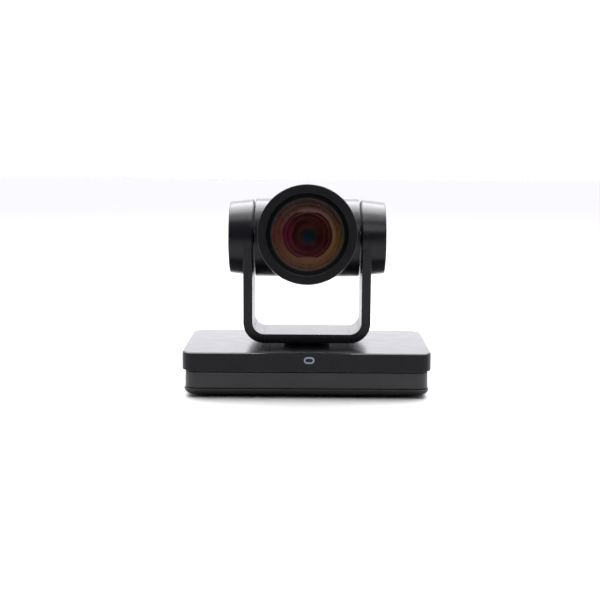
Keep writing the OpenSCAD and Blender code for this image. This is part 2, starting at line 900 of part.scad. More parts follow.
module tilt_pinion() {
    x0 = tilt_gear_x - 0.2;
    t = tilt_gear_t + 0.4;
    turn = tilt_pinion_teeth % 2 == 0 ? 180 / tilt_pinion_teeth : 0;
    color(brass) on_axis(-1) translate([tilt_centres, 0, 0]) {
        translate([0, 0, x0]) gear(tilt_module, tilt_pinion_teeth, t, turn);
        rod(1.5, x0, tilt_motor_x + tilt_motor_t - 2.5);
    }
}

// ---------------------------------------------------------------- head

// Drum and horn of the head, thinned by an inset; the horn runs forwards to a given reach
module head_body(inset, reach) {
    half = drum_half - inset;
    r = drum_r - inset;
    edge = max(drum_edge - inset / 2, 0.3);
    rotate([0, 90, 0]) rotate_extrude() polygon([
        [0, -half], [r - edge, -half], [r, edge - half], [r, half - edge], [r - edge, half], [0, half]]);
    translate([0, 0, lens_rise]) rotate([90, 0, 0]) {
        translate([0, 0, horn_start])
            cylinder(r1 = horn_r - inset, r2 = hood_r - inset, h = horn_end - horn_start);
        rod(hood_r - inset, horn_end - eps, reach);
    }
}

module head_cavity() {
    head_body(head_wall, hood_seam - 3);
}

module head_front_shell() {
    spigot_r = hood_r - 2.3;
    color(shell_dark) head_pose() difference() {
        union() {
            intersection() {
                head_body(0, hood_seam);
                block([-drum_w, -2 * hood_reach, -2 * drum_r], [drum_w, split_y, 2 * drum_r]);
            }
            translate([0, 0, lens_rise]) rotate([90, 0, 0]) rod(spigot_r, hood_seam - 1, hood_seam + 9);
        }
        head_cavity();
        translate([0, 0, lens_rise]) rotate([90, 0, 0])
            rod(spigot_r - 1.9, hood_seam - 4, hood_reach);
        rotate([0, 90, 0]) rod(tilt_bore_r + 0.5, -drum_w, drum_w);
    }
}

module head_rear_shell() {
    color(shell_dark) head_pose() difference() {
        intersection() {
            head_body(0, hood_seam);
            block([-drum_w, split_y + 0.2, -2 * drum_r], [drum_w, 2 * drum_r, 2 * drum_r]);
        }
        head_cavity();
    }
}

// Front trim ring: flat face, chamfered edge and a skirt over the horn's spigot
module hood_ring() {
    chamfer = 1.3;
    face_t = 3;
    skirt_r = hood_r - 2.1;
    color(inner_black) lens_pose() rotate_extrude() polygon([
        [mouth_r, hood_reach], [hood_r - chamfer, hood_reach], [hood_r, hood_reach - chamfer],
        [hood_r, hood_seam + 0.2], [skirt_r, hood_seam + 0.2], [skirt_r, hood_reach - face_t],
        [mouth_r, hood_reach - face_t]]);
}

// Sloping wall between the hood's mouth and the lens
module hood_liner() {
    front = hood_reach - 3;
    color(inner_black) lens_pose() rotate_extrude() polygon([
        [mouth_r, front], [mouth_r + 1.5, front], [glass_r + 3.1, cup_front + 1],
        [glass_r + 1.5, cup_front + 1]]);
}

module lens_retainer() {
    color(inner_black) lens_pose() tube(cup_r - 0.2, glass_r, cup_front, cup_front + 1);
}

// Disc of glass with a domed front
module dome_glass(r, back, edge, rise) {
    curve = (r * r + rise * rise) / (2 * rise);
    intersection() {
        rod(r, back, edge + rise + 1);
        translate([0, 0, edge + rise - curve]) sphere(curve, $fn = 360);
    }
}

// Front lens and the second element of its group
module front_lens() {
    color([0.35, 0.2, 0.2, 0.5]) lens_pose() {
        dome_glass(lens_r, cup_front - 6, cup_front - 0.3, 4);
        dome_glass(lens_r - 3, cup_back + 1.6, cup_back + 4, 2.5);
    }
}

module lens_barrel() {
    floor_z = cup_back - wall_t;
    flange_r = 34;
    color(inner_black) lens_pose() difference() {
        union() {
            rod(cup_r, floor_z, cup_front);
            rod(barrel_r, barrel_back, floor_z + 1);
            rod(flange_r, 22.1, 24.2);
        }
        rod(lens_r + 0.1, cup_back, cup_front + 1);
        rod(bore_r, barrel_back + wall_t, cup_back + 1);
        rod(9, barrel_back - 1, barrel_back + wall_t + 1);
        for (x = [-rod_off, rod_off]) translate([x, 0, 0]) rod(lead_r + 0.5, barrel_back - 1, 0);
        for (y = [-rod_off, rod_off]) translate([0, y, 0]) rod(rod_r + 0.02, barrel_back - 1, 0);
    }
}

// Plate behind the front lenses with a round opening cut flat at the top and the bottom
module front_baffle() {
    open_r = 25;
    flat = 22.75;
    color(inner_black) lens_pose() difference() {
        rod(lens_r - 0.1, cup_back + 0.1, cup_back + 1.3);
        intersection() {
            rod(open_r, cup_back - 1, cup_back + 3);
            block([-open_r, -flat, cup_back - 1], [open_r, flat, cup_back + 3]);
        }
    }
}

// Fixed wall inside the barrel with the iris opening and the blades' two rails
module iris_plate() {
    rail_x = 12.3;
    color(steel) lens_pose() difference() {
        union() {
            rod(bore_r - 0.1, iris_front - 2, iris_front);
            for (x = [-1, 1]) block([x > 0 ? rail_x : -rail_x - 1.4, -19, iris_front - 4],
                                    [x > 0 ? rail_x + 1.4 : -rail_x, 19, iris_front - 2 + eps]);
        }
        rod(iris_r, iris_front - 5, iris_front + 1);
        for (y = [-rod_off, rod_off]) translate([0, y, 0]) rod(rod_r + 0.02, 0, iris_front + 1);
        translate([rod_off, 0, 0]) rod(lead_r + 0.4, 0, iris_front + 1);
        translate([-rod_off, 0, 0]) rod(lead_r + running_gap, 0, iris_front + 1);
    }
}

// Iris blade with a round notch; the two blades close from above and below
module iris_blade(side, layer) {
    top = iris_front - 2.3 - layer * (blade_t + 0.2);
    lens_pose() difference() {
        block([-12, side > 0 ? 2 : -20, top - blade_t], [12, side > 0 ? 20 : -2, top]);
        rod(iris_r + 0.5, 0, iris_front);
    }
}

module iris_blade_upper() {
    color(inner_black) iris_blade(1, 0);
}

module iris_blade_lower() {
    color(inner_black) iris_blade(-1, 1);
}

// Left shaft: flange inside the drum, bearing seat and gear seat
module left_tilt_shaft() {
    color(steel) on_axis(-1) {
        rod(10, frame_x, frame_x + 1.5);
        rod(tilt_bore_r - 0.02, frame_x + 1.4, tilt_gear_x - 0.3);
        rod(tilt_bore_r - 1, tilt_gear_x - 0.5, tilt_gear_x + tilt_gear_t + 0.5);
    }
}

// Right shaft: as the left one, hollow for the head's cable and without a gear
module right_tilt_shaft() {
    color(steel) on_axis(1) difference() {
        union() {
            rod(10, frame_x, frame_x + 1.5);
            rod(tilt_bore_r - 0.02, frame_x + 1.4, tilt_gear_x + 0.5);
        }
        rod(3.6, frame_x - 1, tilt_gear_x + 1);
    }
}

module tilt_gear() {
    color(brass) on_axis(-1) difference() {
        translate([0, 0, tilt_gear_x]) gear(tilt_module, tilt_teeth, tilt_gear_t, 0);
        rod(tilt_bore_r - 0.98, tilt_gear_x - 1, tilt_gear_x + tilt_gear_t + 1);
        for (i = [0 : 5]) rotate(30 + 60 * i) translate([11, 0, 0])
            rod(2.2, tilt_gear_x - 1, tilt_gear_x + tilt_gear_t + 1);
    }
}

module tilt_bearing_inners() {
    color(steel) for (side = [-1, 1]) on_axis(side) translate([0, 0, tilt_bearing_x])
        inner_race(tilt_bore_r, tilt_od_r, tilt_ball_r, tilt_bearing_w);
}

// Folded steel frame that joins the two shafts and holds the lens barrel's flange
module head_frame() {
    front_y = -22;
    half_h = 26;
    ring_r = 37;
    side_h = 24;
    color(steel) head_pose() difference() {
        union() {
            block([-frame_x, front_y, -half_h], [frame_x, front_y + frame_t, half_h]);
            translate([0, front_y + frame_t, lens_rise]) rotate([90, 0, 0]) rod(ring_r, 0, frame_t);
            for (x = [-frame_x, frame_x - frame_t])
                block([x, front_y, -side_h], [x + frame_t, 12, side_h]);
        }
        translate([0, 0, lens_rise]) rotate([90, 0, 0]) rod(barrel_r + 0.1, 0, 40);
        rotate([0, 90, 0]) rod(3.6, -drum_w, drum_w);
    }
}

// Image sensor in the barrel's rear window, on its own board
module image_sensor() {
    color(board_green) lens_pose() {
        block([-17, -20, barrel_back - 3.6], [17, 20, barrel_back - 2]);
        block([-7, -5.5, barrel_back - 2 - eps], [7, 5.5, barrel_back + 0.6]);
    }
}

module guide_rods() {
    color(steel) lens_pose() for (y = [-rod_off, rod_off])
        translate([0, y, 0]) rod(rod_r, barrel_back, cup_back - wall_t - 0.2);
}

// The zoom and focus stepper motors behind the barrel
module lens_motors() {
    color(steel) lens_pose() for (x = [-rod_off, rod_off]) translate([x, 0, 0]) difference() {
        rod(can_r, barrel_back - can_len, barrel_back - 0.1);
        rod(lead_r + running_gap, barrel_back - can_len + 2, barrel_back + 1);
    }
}

// Lens cell with two ears on the guide rods and a nut ear on its lead screw
module carriage(front, len, cell_r, glass, nut_side) {
    ear_w = 5;
    ear_end = rod_off + 2.4;
    difference() {
        union() {
            rod(cell_r, front - len, front);
            block([-ear_w / 2, -ear_end, front - len], [ear_w / 2, ear_end, front]);
            block([nut_side > 0 ? 0 : -ear_end, -ear_w / 2, front - len],
                  [nut_side > 0 ? ear_end : 0, ear_w / 2, front]);
        }
        rod(glass, front - len - 1, front + 1);
        for (y = [-rod_off, rod_off]) translate([0, y, 0])
            rod(rod_r + running_gap, front - len - 1, front + 1);
        translate([nut_side * rod_off, 0, 0]) rod(lead_r + running_gap, front - len - 1, front + 1);
    }
}

module zoom_carriage() {
    color(inner_black) lens_pose() carriage(zoom_front, zoom_len, zoom_cell_r, zoom_glass_r, 1);
}

module zoom_lens() {
    color([0.2, 0.3, 0.4, 0.5]) lens_pose()
        dome_glass(zoom_glass_r - 0.05, zoom_front - zoom_len + 1, zoom_front - 3, 2);
}

module zoom_screw() {
    color(brass) lens_pose() translate([rod_off, 0, 0])
        rod(lead_r, barrel_back - can_len + 3, cup_back - wall_t - 0.5);
}

// Focus cell with its glass
module focus_group() {
    color(band_grey) lens_pose() {
        carriage(focus_front, focus_len, focus_cell_r, focus_glass_r, -1);
        rod(focus_glass_r + 0.1, focus_front - focus_len + 1.5, focus_front - 1.5);
    }
}

module focus_screw() {
    color(brass) lens_pose() translate([-rod_off, 0, 0])
        rod(lead_r, barrel_back - can_len + 3, iris_front - 0.3);
}

base_cover();
base_frame();
bottom_pan();
rubber_feet();
tripod_insert();
bottom_screws();
rear_panel();
hdmi_port();
sdi_port();
usb_port();
lan_port();
audio_jacks();
serial_ports();
dc_jack();
main_board();
heat_sink();
pan_plate();
pan_bearing_outer();
pan_motor();
selector_dial();
pan_pinion();
yoke_bracket();
left_arm();
right_arm();
yoke_bridge();
pan_spindle();
pan_gear();
pan_bearing_inner();
left_cap();
right_cap();
tilt_motor();
tilt_bearing_outers();
bearing_balls();
yoke_screws();
yoke_harness();
tilt_pinion();
head_front_shell();
head_rear_shell();
hood_ring();
hood_liner();
lens_retainer();
front_lens();
lens_barrel();
front_baffle();
iris_plate();
left_tilt_shaft();
right_tilt_shaft();
tilt_gear();
tilt_bearing_inners();
head_frame();
image_sensor();
guide_rods();
lens_motors();
zoom_carriage();
zoom_lens();
zoom_screw();
focus_group();
focus_screw();
iris_blade_upper();
iris_blade_lower();
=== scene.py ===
import math

import bmesh
import bpy
from mathutils import Matrix, Vector


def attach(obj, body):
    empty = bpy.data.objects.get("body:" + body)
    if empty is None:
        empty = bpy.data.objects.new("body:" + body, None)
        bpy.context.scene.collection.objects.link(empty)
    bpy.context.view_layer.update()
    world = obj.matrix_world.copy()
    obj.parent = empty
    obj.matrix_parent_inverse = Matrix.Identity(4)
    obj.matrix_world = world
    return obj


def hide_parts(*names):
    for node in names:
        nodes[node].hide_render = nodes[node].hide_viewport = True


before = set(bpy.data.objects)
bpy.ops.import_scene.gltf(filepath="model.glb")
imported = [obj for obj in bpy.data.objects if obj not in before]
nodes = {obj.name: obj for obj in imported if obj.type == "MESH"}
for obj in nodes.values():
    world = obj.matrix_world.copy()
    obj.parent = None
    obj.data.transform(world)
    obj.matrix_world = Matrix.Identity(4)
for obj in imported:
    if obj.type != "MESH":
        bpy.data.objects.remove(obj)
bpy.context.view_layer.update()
scene = bpy.context.scene

# Shapes are built in millimetres and scaled by piece(). +Z is up, and the lens looks along -Y.
MM = 0.001
TAU = 2 * math.pi

# ------------------------------------------------------------------ camera, floor and light

FOCAL_PX = 1189.0
IMAGE_PX = 600.0
SENSOR = 36.0
EYE = Vector((0.0019, -1.2383, 0.26004))
PITCH = 5.0
ROLL = 0.372
SHIFT = (-0.0154, -0.0985)

camera = bpy.data.objects.new("camera", bpy.data.cameras.new("camera"))
scene.collection.objects.link(camera)
scene.camera = camera
camera.data.sensor_width = SENSOR
camera.data.lens = FOCAL_PX / IMAGE_PX * SENSOR
camera.data.shift_x, camera.data.shift_y = SHIFT
camera.data.clip_start = 0.05
camera.matrix_world = (
    Matrix.Translation(EYE)
    @ Matrix.Rotation(math.radians(90 - PITCH), 4, "X")
    @ Matrix.Rotation(math.radians(ROLL), 4, "Z")
)
scene.view_settings.view_transform = "Standard"
scene.cycles.transparent_max_bounces = 24


def nodes_of(owner):
    owner.use_nodes = True
    owner.node_tree.nodes.clear()
    return owner.node_tree


def node(tree, kind, **settings):
    made = tree.nodes.new(kind)
    for key, value in settings.items():
        setattr(made, key, value)
    return made


def map_range(tree, *limits):
    made = node(tree, "ShaderNodeMapRange")
    for socket, value in zip(("From Min", "From Max", "To Min", "To Max"), limits):
        made.inputs[socket].default_value = value
    return made


# The studio's light by direction: stronger from behind the object (+Y) and from above.
# The camera itself sees a plain white background.
BEHIND, ABOVE, BACKGROUND = (-0.25, 0.35, 0.08, 2.5), (0.25, 0.65, 1.0, 1.8), 1.05
TINT = (0.99, 0.985, 1.035, 1.0)

world = bpy.data.worlds.new("studio")
scene.world = world
tree = nodes_of(world)
coords = node(tree, "ShaderNodeTexCoord")
split = node(tree, "ShaderNodeSeparateXYZ")
depth = map_range(tree, *BEHIND)
lift = map_range(tree, *ABOVE)
raised = node(tree, "ShaderNodeMath", operation="MULTIPLY")
seen = node(tree, "ShaderNodeLightPath")
pick = node(tree, "ShaderNodeMix", data_type="FLOAT")
pick.inputs["B"].default_value = BACKGROUND
back = node(tree, "ShaderNodeBackground")
back.inputs["Color"].default_value = TINT
out = node(tree, "ShaderNodeOutputWorld")
tree.links.new(coords.outputs["Generated"], split.inputs[0])
tree.links.new(split.outputs["Y"], depth.inputs["Value"])
tree.links.new(split.outputs["Z"], lift.inputs["Value"])
tree.links.new(depth.outputs["Result"], raised.inputs[0])
tree.links.new(lift.outputs["Result"], raised.inputs[1])
tree.links.new(raised.outputs[0], pick.inputs["A"])
tree.links.new(seen.outputs["Is Camera Ray"], pick.inputs["Factor"])
tree.links.new(pick.outputs["Result"], back.inputs["Strength"])
tree.links.new(back.outputs[0], out.inputs["Surface"])


def softbox(name, place, target, width, height, watts):
    light = bpy.data.lights.new(name, "AREA")
    light.shape = "RECTANGLE"
    light.size = width
    light.size_y = height
    light.energy = watts
    lamp = bpy.data.objects.new(name, light)
    scene.collection.objects.link(lamp)
    lamp.location = place
    lamp.rotation_euler = (Vector(target) - Vector(place)).to_track_quat("-Z", "Y").to_euler()
    return lamp


softbox("overhead_softbox", (0, 0.4, 1.25), (0, 0.1, 0.1), 1.9, 1.1, 90)
softbox("overhead_edge", (0, -0.42, 1.25), (0, -0.2, 0.1), 1.9, 0.45, 13)
softbox("front_fill", (0.5, -1.9, 1.5), (0, 0, 0.1), 0.8, 0.8, 10)


# ------------------------------------------------------------------ mesh kit

def to_object(name, mesh):
    made = bpy.data.objects.new(name, mesh)
    scene.collection.objects.link(made)
    return made


def solid(points, faces, matrix=None):
    """An object of points in mm, with its normals turned outwards."""
    place = matrix or Matrix.Identity(4)
    mesh = bpy.data.meshes.new("shape")
    mesh.from_pydata([place @ Vector(p) for p in points], [], faces)
    shape = bmesh.new()
    shape.from_mesh(mesh)
    bmesh.ops.remove_doubles(shape, verts=shape.verts, dist=1e-4)
    bmesh.ops.recalc_face_normals(shape, faces=shape.faces)
    shape.to_mesh(mesh)
    shape.free()
    return to_object("shape", mesh)


def loft(rings, matrix=None, closed=False):
    """Skin over rings of equal length, closed into a tube or capped at both ends."""
    count = len(rings[0])
    points = [p for ring in rings for p in ring]
    faces = []
    spans = len(rings) if closed else len(rings) - 1
    for i in range(spans):
        a, b = i * count, (i + 1) % len(rings) * count
        for j in range(count):
            k = (j + 1) % count
            faces.append((a + j, a + k, b + k, b + j))
    if not closed:
        faces.append(tuple(range(count))[::-1])
        faces.append(tuple(range((len(rings) - 1) * count, len(rings) * count)))
    return solid(points, faces, matrix)


def lathe(profile, matrix=None, steps=128):
    """Closed profile of (radius, height) turned about the local Z axis."""
    points, rows = [], []
    for radius, height in profile:
        if radius < 1e-6:
            rows.append([len(points)] * steps)
            points.append((0, 0, height))
            continue
        rows.append([len(points) + i for i in range(steps)])
        points += [(radius * math.cos(TAU * i / steps), radius * math.sin(TAU * i / steps), height)
                   for i in range(steps)]
    faces = []
    for a, b in zip(rows, rows[1:] + rows[:1]):
        for i in range(steps):
            k = (i + 1) % steps
            face = []
            for corner in (a[i], a[k], b[k], b[i]):
                if corner not in face:
                    face.append(corner)
            if len(face) > 2:
                faces.append(tuple(face))
    return solid(points, faces, matrix)


def fillet(points, radii, steps=4, closed=True):
    """A polyline with each corner rounded to its radius."""
    out, count = [], len(points)
    for i, (corner, radius) in enumerate(zip(points, radii)):
        if radius <= 0 or (not closed and i in (0, count - 1)):
            out.append(corner)
            continue
        here = Vector(corner)
        before = (Vector(points[i - 1]) - here).normalized()
        after = (Vector(points[(i + 1) % count]) - here).normalized()
        half = before.angle(after) / 2
        reach = radius / math.tan(half)
        centre = here + (before + after).normalized() * radius / math.sin(half)
        start, end = here + before * reach - centre, here + after * reach - centre
        swing = start.angle(end)
        for k in range(steps + 1):
            part = k / steps
            mixed = (start * math.sin((1 - part) * swing) + end * math.sin(part * swing)) / math.sin(swing)
            out.append(tuple(centre + mixed))
    return out


def rod(radius, low, high, matrix=None, edge=0.0, steps=48):
    corner = fillet([(0, low), (radius, low), (radius, high), (0, high)], [0, edge, edge, 0], 3)
    return lathe(corner, matrix, steps)


def box(low, high, edge=0.0, matrix=None):
    """A block with its edges rounded."""
    shape = bmesh.new()
    bmesh.ops.create_cube(shape, size=1)
    low, high = Vector(low), Vector(high)
    for vert in shape.verts:
        vert.co = Vector(((vert.co[i] + 0.5) * (high[i] - low[i]) + low[i]) for i in range(3))
    if edge:
        bmesh.ops.bevel(shape, geom=shape.edges[:], offset=edge, segments=2, profile=0.5,
                        affect="EDGES", clamp_overlap=True)
    place = matrix or Matrix.Identity(4)
    for vert in shape.verts:
        vert.co = place @ vert.co
    bmesh.ops.recalc_face_normals(shape, faces=shape.faces)
    mesh = bpy.data.meshes.new("shape")
    shape.to_mesh(mesh)
    shape.free()
    return to_object("shape", mesh)


def close_up(mesh):
    """The mesh with doubled points merged and hairline gaps between cut faces filled."""
    shape = bmesh.new()
    shape.from_mesh(mesh)
    bmesh.ops.remove_doubles(shape, verts=shape.verts, dist=2e-4)
    gaps = [edge for edge in shape.edges if edge.is_boundary]
    if gaps:
        bmesh.ops.holes_fill(shape, edges=gaps, sides=12)
    shape.to_mesh(mesh)
    shape.free()
    return mesh


def combine(target, others, how):
    """target with other shapes added to it, cut from it or kept in common, as one mesh."""
    for other in others:
        step = target.modifiers.new(how, "BOOLEAN")
        step.operation = how
        step.solver = "EXACT"
        step.object = other
    bpy.context.view_layer.update()
    mesh = bpy.data.meshes.new_from_object(target.evaluated_get(bpy.context.evaluated_depsgraph_get()))
    target.modifiers.clear()
    target.data = close_up(mesh)
    for other in others:
        bpy.data.objects.remove(other)
    return target


def cut(target, *others):
    return combine(target, others, "DIFFERENCE")


def add(target, *others):
    return combine(target, others, "UNION")


def gather(*parts):
    """Separate closed shapes kept side by side in one mesh."""
    shape = bmesh.new()
    for part in parts:
        shape.from_mesh(part.data)
        bpy.data.objects.remove(part)
    mesh = bpy.data.meshes.new("shape")
    shape.to_mesh(mesh)
    shape.free()
    return to_object("shape", mesh)


def bevel(target, width, angle=35, steps=2):
    step = target.modifiers.new("edges", "BEVEL")
    step.width = width * MM
    step.segments = steps
    step.limit_method = "ANGLE"
    step.angle_limit = math.radians(angle)
    step.use_clamp_overlap = True
    return target


def piece(target, name, body, material, replaced=(), sharp=34):
    """Names a finished shape, gives it its material and puts it on its body."""
    target.name = name
    target.data.name = name
    target.data.transform(Matrix.Scale(MM, 4))
    target.data.materials.clear()
    target.data.materials.append(material)
    target.data.polygons.foreach_set("use_smooth", [True] * len(target.data.polygons))
    target.data.set_sharp_from_angle(angle=math.radians(sharp))
    flat = target.modifiers.new("flat_faces", "WEIGHTED_NORMAL")
    flat.keep_sharp = True
    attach(target, body)
    if replaced:
        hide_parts(*replaced)
    return target


# ------------------------------------------------------------------ materials

# How far the tone of a surface wanders either side of its colour
PLASTIC_VARY, METAL_VARY = 0.12, 0.08


def shader(name):
    made = bpy.data.materials.new(name)
    tree = nodes_of(made)
    out = node(tree, "ShaderNodeOutputMaterial")
    surface = node(tree, "ShaderNodeBsdfPrincipled")
    tree.links.new(surface.outputs[0], out.inputs["Surface"])
    return made, tree, surface


def noise(tree, size, detail=2.0, stretch=None):
    """Noise with features about size mm across, in the piece's own space."""
    coords = node(tree, "ShaderNodeTexCoord")
    source = coords.outputs["Object"]
    if stretch:
        mapping = node(tree, "ShaderNodeMapping")
        mapping.inputs["Scale"].default_value = stretch
        tree.links.new(source, mapping.inputs["Vector"])
        source = mapping.outputs[0]
    made = node(tree, "ShaderNodeTexNoise")
    made.inputs["Scale"].default_value = 1 / (size * MM)
    made.inputs["Detail"].default_value = detail
    tree.links.new(source, made.inputs["Vector"])
    return made.outputs["Fac"]


def spread(tree, source, low, high):
    """Noise stretched from the values it mostly takes to the range low to high."""
    made = map_range(tree, 0.3, 0.7, low, high)
    tree.links.new(source, made.inputs["Value"])
    return made.outputs["Result"]


def blend_colours(tree, factor, dark, light):
    made = node(tree, "ShaderNodeMix", data_type="RGBA")
    made.inputs["A"].default_value = (*dark, 1)
    made.inputs["B"].default_value = (*light, 1)
    tree.links.new(factor, made.inputs["Factor"])
    return made.outputs["Result"]


def bump(tree, surface, source, strength, height):
    made = node(tree, "ShaderNodeBump")
    made.inputs["Strength"].default_value = strength
    made.inputs["Distance"].default_value = height * MM
    tree.links.new(source, made.inputs["Height"])
    tree.links.new(made.outputs[0], surface.inputs["Normal"])


def plastic(name, colour, rough, ior=1.45, grain=0.35, depth=0.004, strength=0.12):
    """Moulded plastic: fine texture, slightly uneven gloss and tone, edges rubbed a little lighter."""
    made, tree, surface = shader(name)
    broad = noise(tree, 28, 3)
    edge = node(tree, "ShaderNodeNewGeometry").outputs["Pointiness"]
    worn = map_range(tree, 0.52, 0.62, 0.0, 0.35)
    tree.links.new(edge, worn.inputs["Value"])
    dark = [c * (1 - PLASTIC_VARY) for c in colour]
    light = [c * (1 + PLASTIC_VARY) for c in colour]
    base = blend_colours(tree, spread(tree, broad, 0, 1), dark, light)
    rubbed = node(tree, "ShaderNodeMix", data_type="RGBA")
    rubbed.inputs["B"].default_value = (*[min(1, c * 1.3 + 0.002) for c in colour], 1)
    tree.links.new(base, rubbed.inputs["A"])
    tree.links.new(worn.outputs["Result"], rubbed.inputs["Factor"])
    tree.links.new(rubbed.outputs["Result"], surface.inputs["Base Color"])
    tree.links.new(spread(tree, noise(tree, 16, 3), rough - 0.015, rough + 0.02), surface.inputs["Roughness"])
    surface.inputs["IOR"].default_value = ior
    bump(tree, surface, noise(tree, grain, 2), strength, depth)
    return made


def metal(name, colour, rough, stretch=(1, 1, 1)):
    """Metal with drawn or brushed marks in its gloss and a slightly uneven tone."""
    made, tree, surface = shader(name)
    marks = noise(tree, 0.6, 4, stretch)
    dark = [c * (1 - METAL_VARY) for c in colour]
    light = [min(1, c * (1 + METAL_VARY)) for c in colour]
    tree.links.new(blend_colours(tree, spread(tree, noise(tree, 11, 3), 0, 1), dark, light),
                   surface.inputs["Base Color"])
    surface.inputs["Metallic"].default_value = 1.0
    tree.links.new(spread(tree, marks, rough - 0.07, rough + 0.1), surface.inputs["Roughness"])
    bump(tree, surface, marks, 0.15, 0.01)
    return made


COVER = (0.0036, 0.0038, 0.0056)
cover_plastic = plastic("cover_plastic", COVER, 0.28, ior=1.3, depth=0.0015, strength=0.08)
base_cover_plastic = plastic("base_cover_plastic", COVER, 0.2, ior=1.25, depth=0.0015, strength=0.06)
band_plastic = plastic("band_plastic", (0.0155, 0.0146, 0.0182), 0.42)
tray_plastic = plastic("tray_plastic", (0.007, 0.0075, 0.008), 0.5, ior=1.4)
hood_plastic = plastic("hood_plastic", (0.004, 0.004, 0.005), 0.34, ior=1.31, depth=0.002)
liner_black = plastic("liner_black", (0.002, 0.002, 0.002), 0.7, ior=1.12, grain=0.2)
rubber = plastic("foot_rubber", (0.012, 0.012, 0.012), 0.75, grain=0.8, depth=0.05)
lens_black = plastic("lens_black", (0.003, 0.003, 0.003), 0.5, grain=0.2)
port_plastic = plastic("port_plastic", (0.012, 0.012, 0.013), 0.3, grain=0.5)
dial_plastic = plastic("dial_plastic", (0.13, 0.13, 0.135), 0.4)
mark_ink = plastic("mark_ink", (0.19, 0.21, 0.29), 0.45, depth=0.001)
insulator_white = plastic("insulator_white", (0.62, 0.6, 0.55), 0.4)
cable_rubber = plastic("cable_rubber", (0.01, 0.01, 0.01), 0.5)
panel_paint = plastic("panel_paint", (0.010, 0.010, 0.011), 0.5, grain=0.5, depth=0.05, strength=0.5)
motor_paint = plastic("motor_paint", (0.03, 0.03, 0.034), 0.4)
brass = metal("brass", (0.72, 0.5, 0.2), 0.28, (1, 1, 6))
dark_brass = metal("dark_brass", (0.05, 0.032, 0.02), 0.5, (1, 1, 6))
nickel = metal("port_nickel", (0.42, 0.41, 0.39), 0.27, (1, 8, 1))
bright_nickel = metal("bright_nickel", (0.5, 0.49, 0.475), 0.2, (1, 1, 1))
black_screw = metal("black_screw", (0.06, 0.06, 0.065), 0.35, (1, 1, 1))
aluminium = metal("aluminium", (0.62, 0.62, 0.64), 0.32, (8, 8, 1))
dark_anodised = metal("dark_anodised", (0.03, 0.03, 0.034), 0.38, (8, 8, 1))
sheet_steel = metal("sheet_steel", (0.5, 0.51, 0.52), 0.35, (1, 7, 1))
bearing_steel = metal("bearing_steel", (0.6, 0.6, 0.62), 0.15, (1, 1, 1))


def board_material():
    made, tree, surface = shader("circuit_board")
    coords = node(tree, "ShaderNodeTexCoord")
    tracks = node(tree, "ShaderNodeTexBrick")
    tracks.inputs["Scale"].default_value = 220
    tracks.inputs["Mortar Size"].default_value = 0.06
    tracks.inputs["Color1"].default_value = (0.004, 0.07, 0.03, 1)
    tracks.inputs["Color2"].default_value = (0.006, 0.09, 0.04, 1)
    tracks.inputs["Mortar"].default_value = (0.02, 0.17, 0.08, 1)
    tree.links.new(coords.outputs["Object"], tracks.inputs["Vector"])
    tree.links.new(tracks.outputs["Color"], surface.inputs["Base Color"])
    tree.links.new(spread(tree, noise(tree, 3), 0.25, 0.4), surface.inputs["Roughness"])
    bump(tree, surface, tracks.outputs["Fac"], 0.3, 0.02)
    return made


circuit_board = board_material()

# ------------------------------------------------------------------ base

BASE_W, BASE_D, BASE_H, BASE_R = 250.0, 145.0, 46.0, 14.0
CORNER_STEPS = 14
COVER_Z, BAND_Z, TRAY_TOP, FOOT_H = 27.7, 25.7, 9.0, 1.5
SCREW_X, SCREW_Y = 106.0, 53.0
BRACKET_X, BRACKET_Y, FOOT_X, FOOT_PLACE_Y = 35, 25, 90, 42.5
PANEL_HALF, PANEL_Y = 97.5, 60.0
RECESS_X, RECESS_Y = PANEL_HALF + 0.5, PANEL_Y - 4


def base_ring(inset, z):
    """One ring of the base's plan outline, a distance inside the cover's own."""
    half_w, half_d = BASE_W / 2 - inset, BASE_D / 2 - inset
    radius = max(BASE_R - inset, 1.0)
    ring = []
    for quarter, (sx, sy) in enumerate(((1, 1), (-1, 1), (-1, -1), (1, -1))):
        for i in range(CORNER_STEPS + 1):
            angle = math.radians(90 * (quarter + i / CORNER_STEPS))
            ring.append((sx * (half_w - radius) + radius * math.cos(angle),
                         sy * (half_d - radius) + radius * math.sin(angle), z))
    return ring


def base_loft(profile, closed=False):
    return loft([base_ring(inset, z) for inset, z in profile], closed=closed)


def at_corners(x, y, maker):
    return [maker(Matrix.Translation((sx * x, sy * y, 0))) for sx in (-1, 1) for sy in (-1, 1)]


MARK_AT, MARK_HALF, MARK_R, MARK_LINE, MARK_GAP = (2.6, 38.8), 5.3, 3.4, 1.6, 0.02


def pill(half_length, radius, low, high):
    """Flat pill shape standing on the cover's front, between two depths."""
    x0, z0 = MARK_AT
    rings = []
    for y in (low, high):
        ring = []
        for side in (1, -1):
            for i in range(17):
                angle = math.radians(90 * side + 180 * i / 16 + 180)
                ring.append((x0 + side * (half_length - radius) + radius * math.cos(angle), y,
                             z0 + radius * math.sin(angle)))
        rings.append(ring)
    return loft(rings)


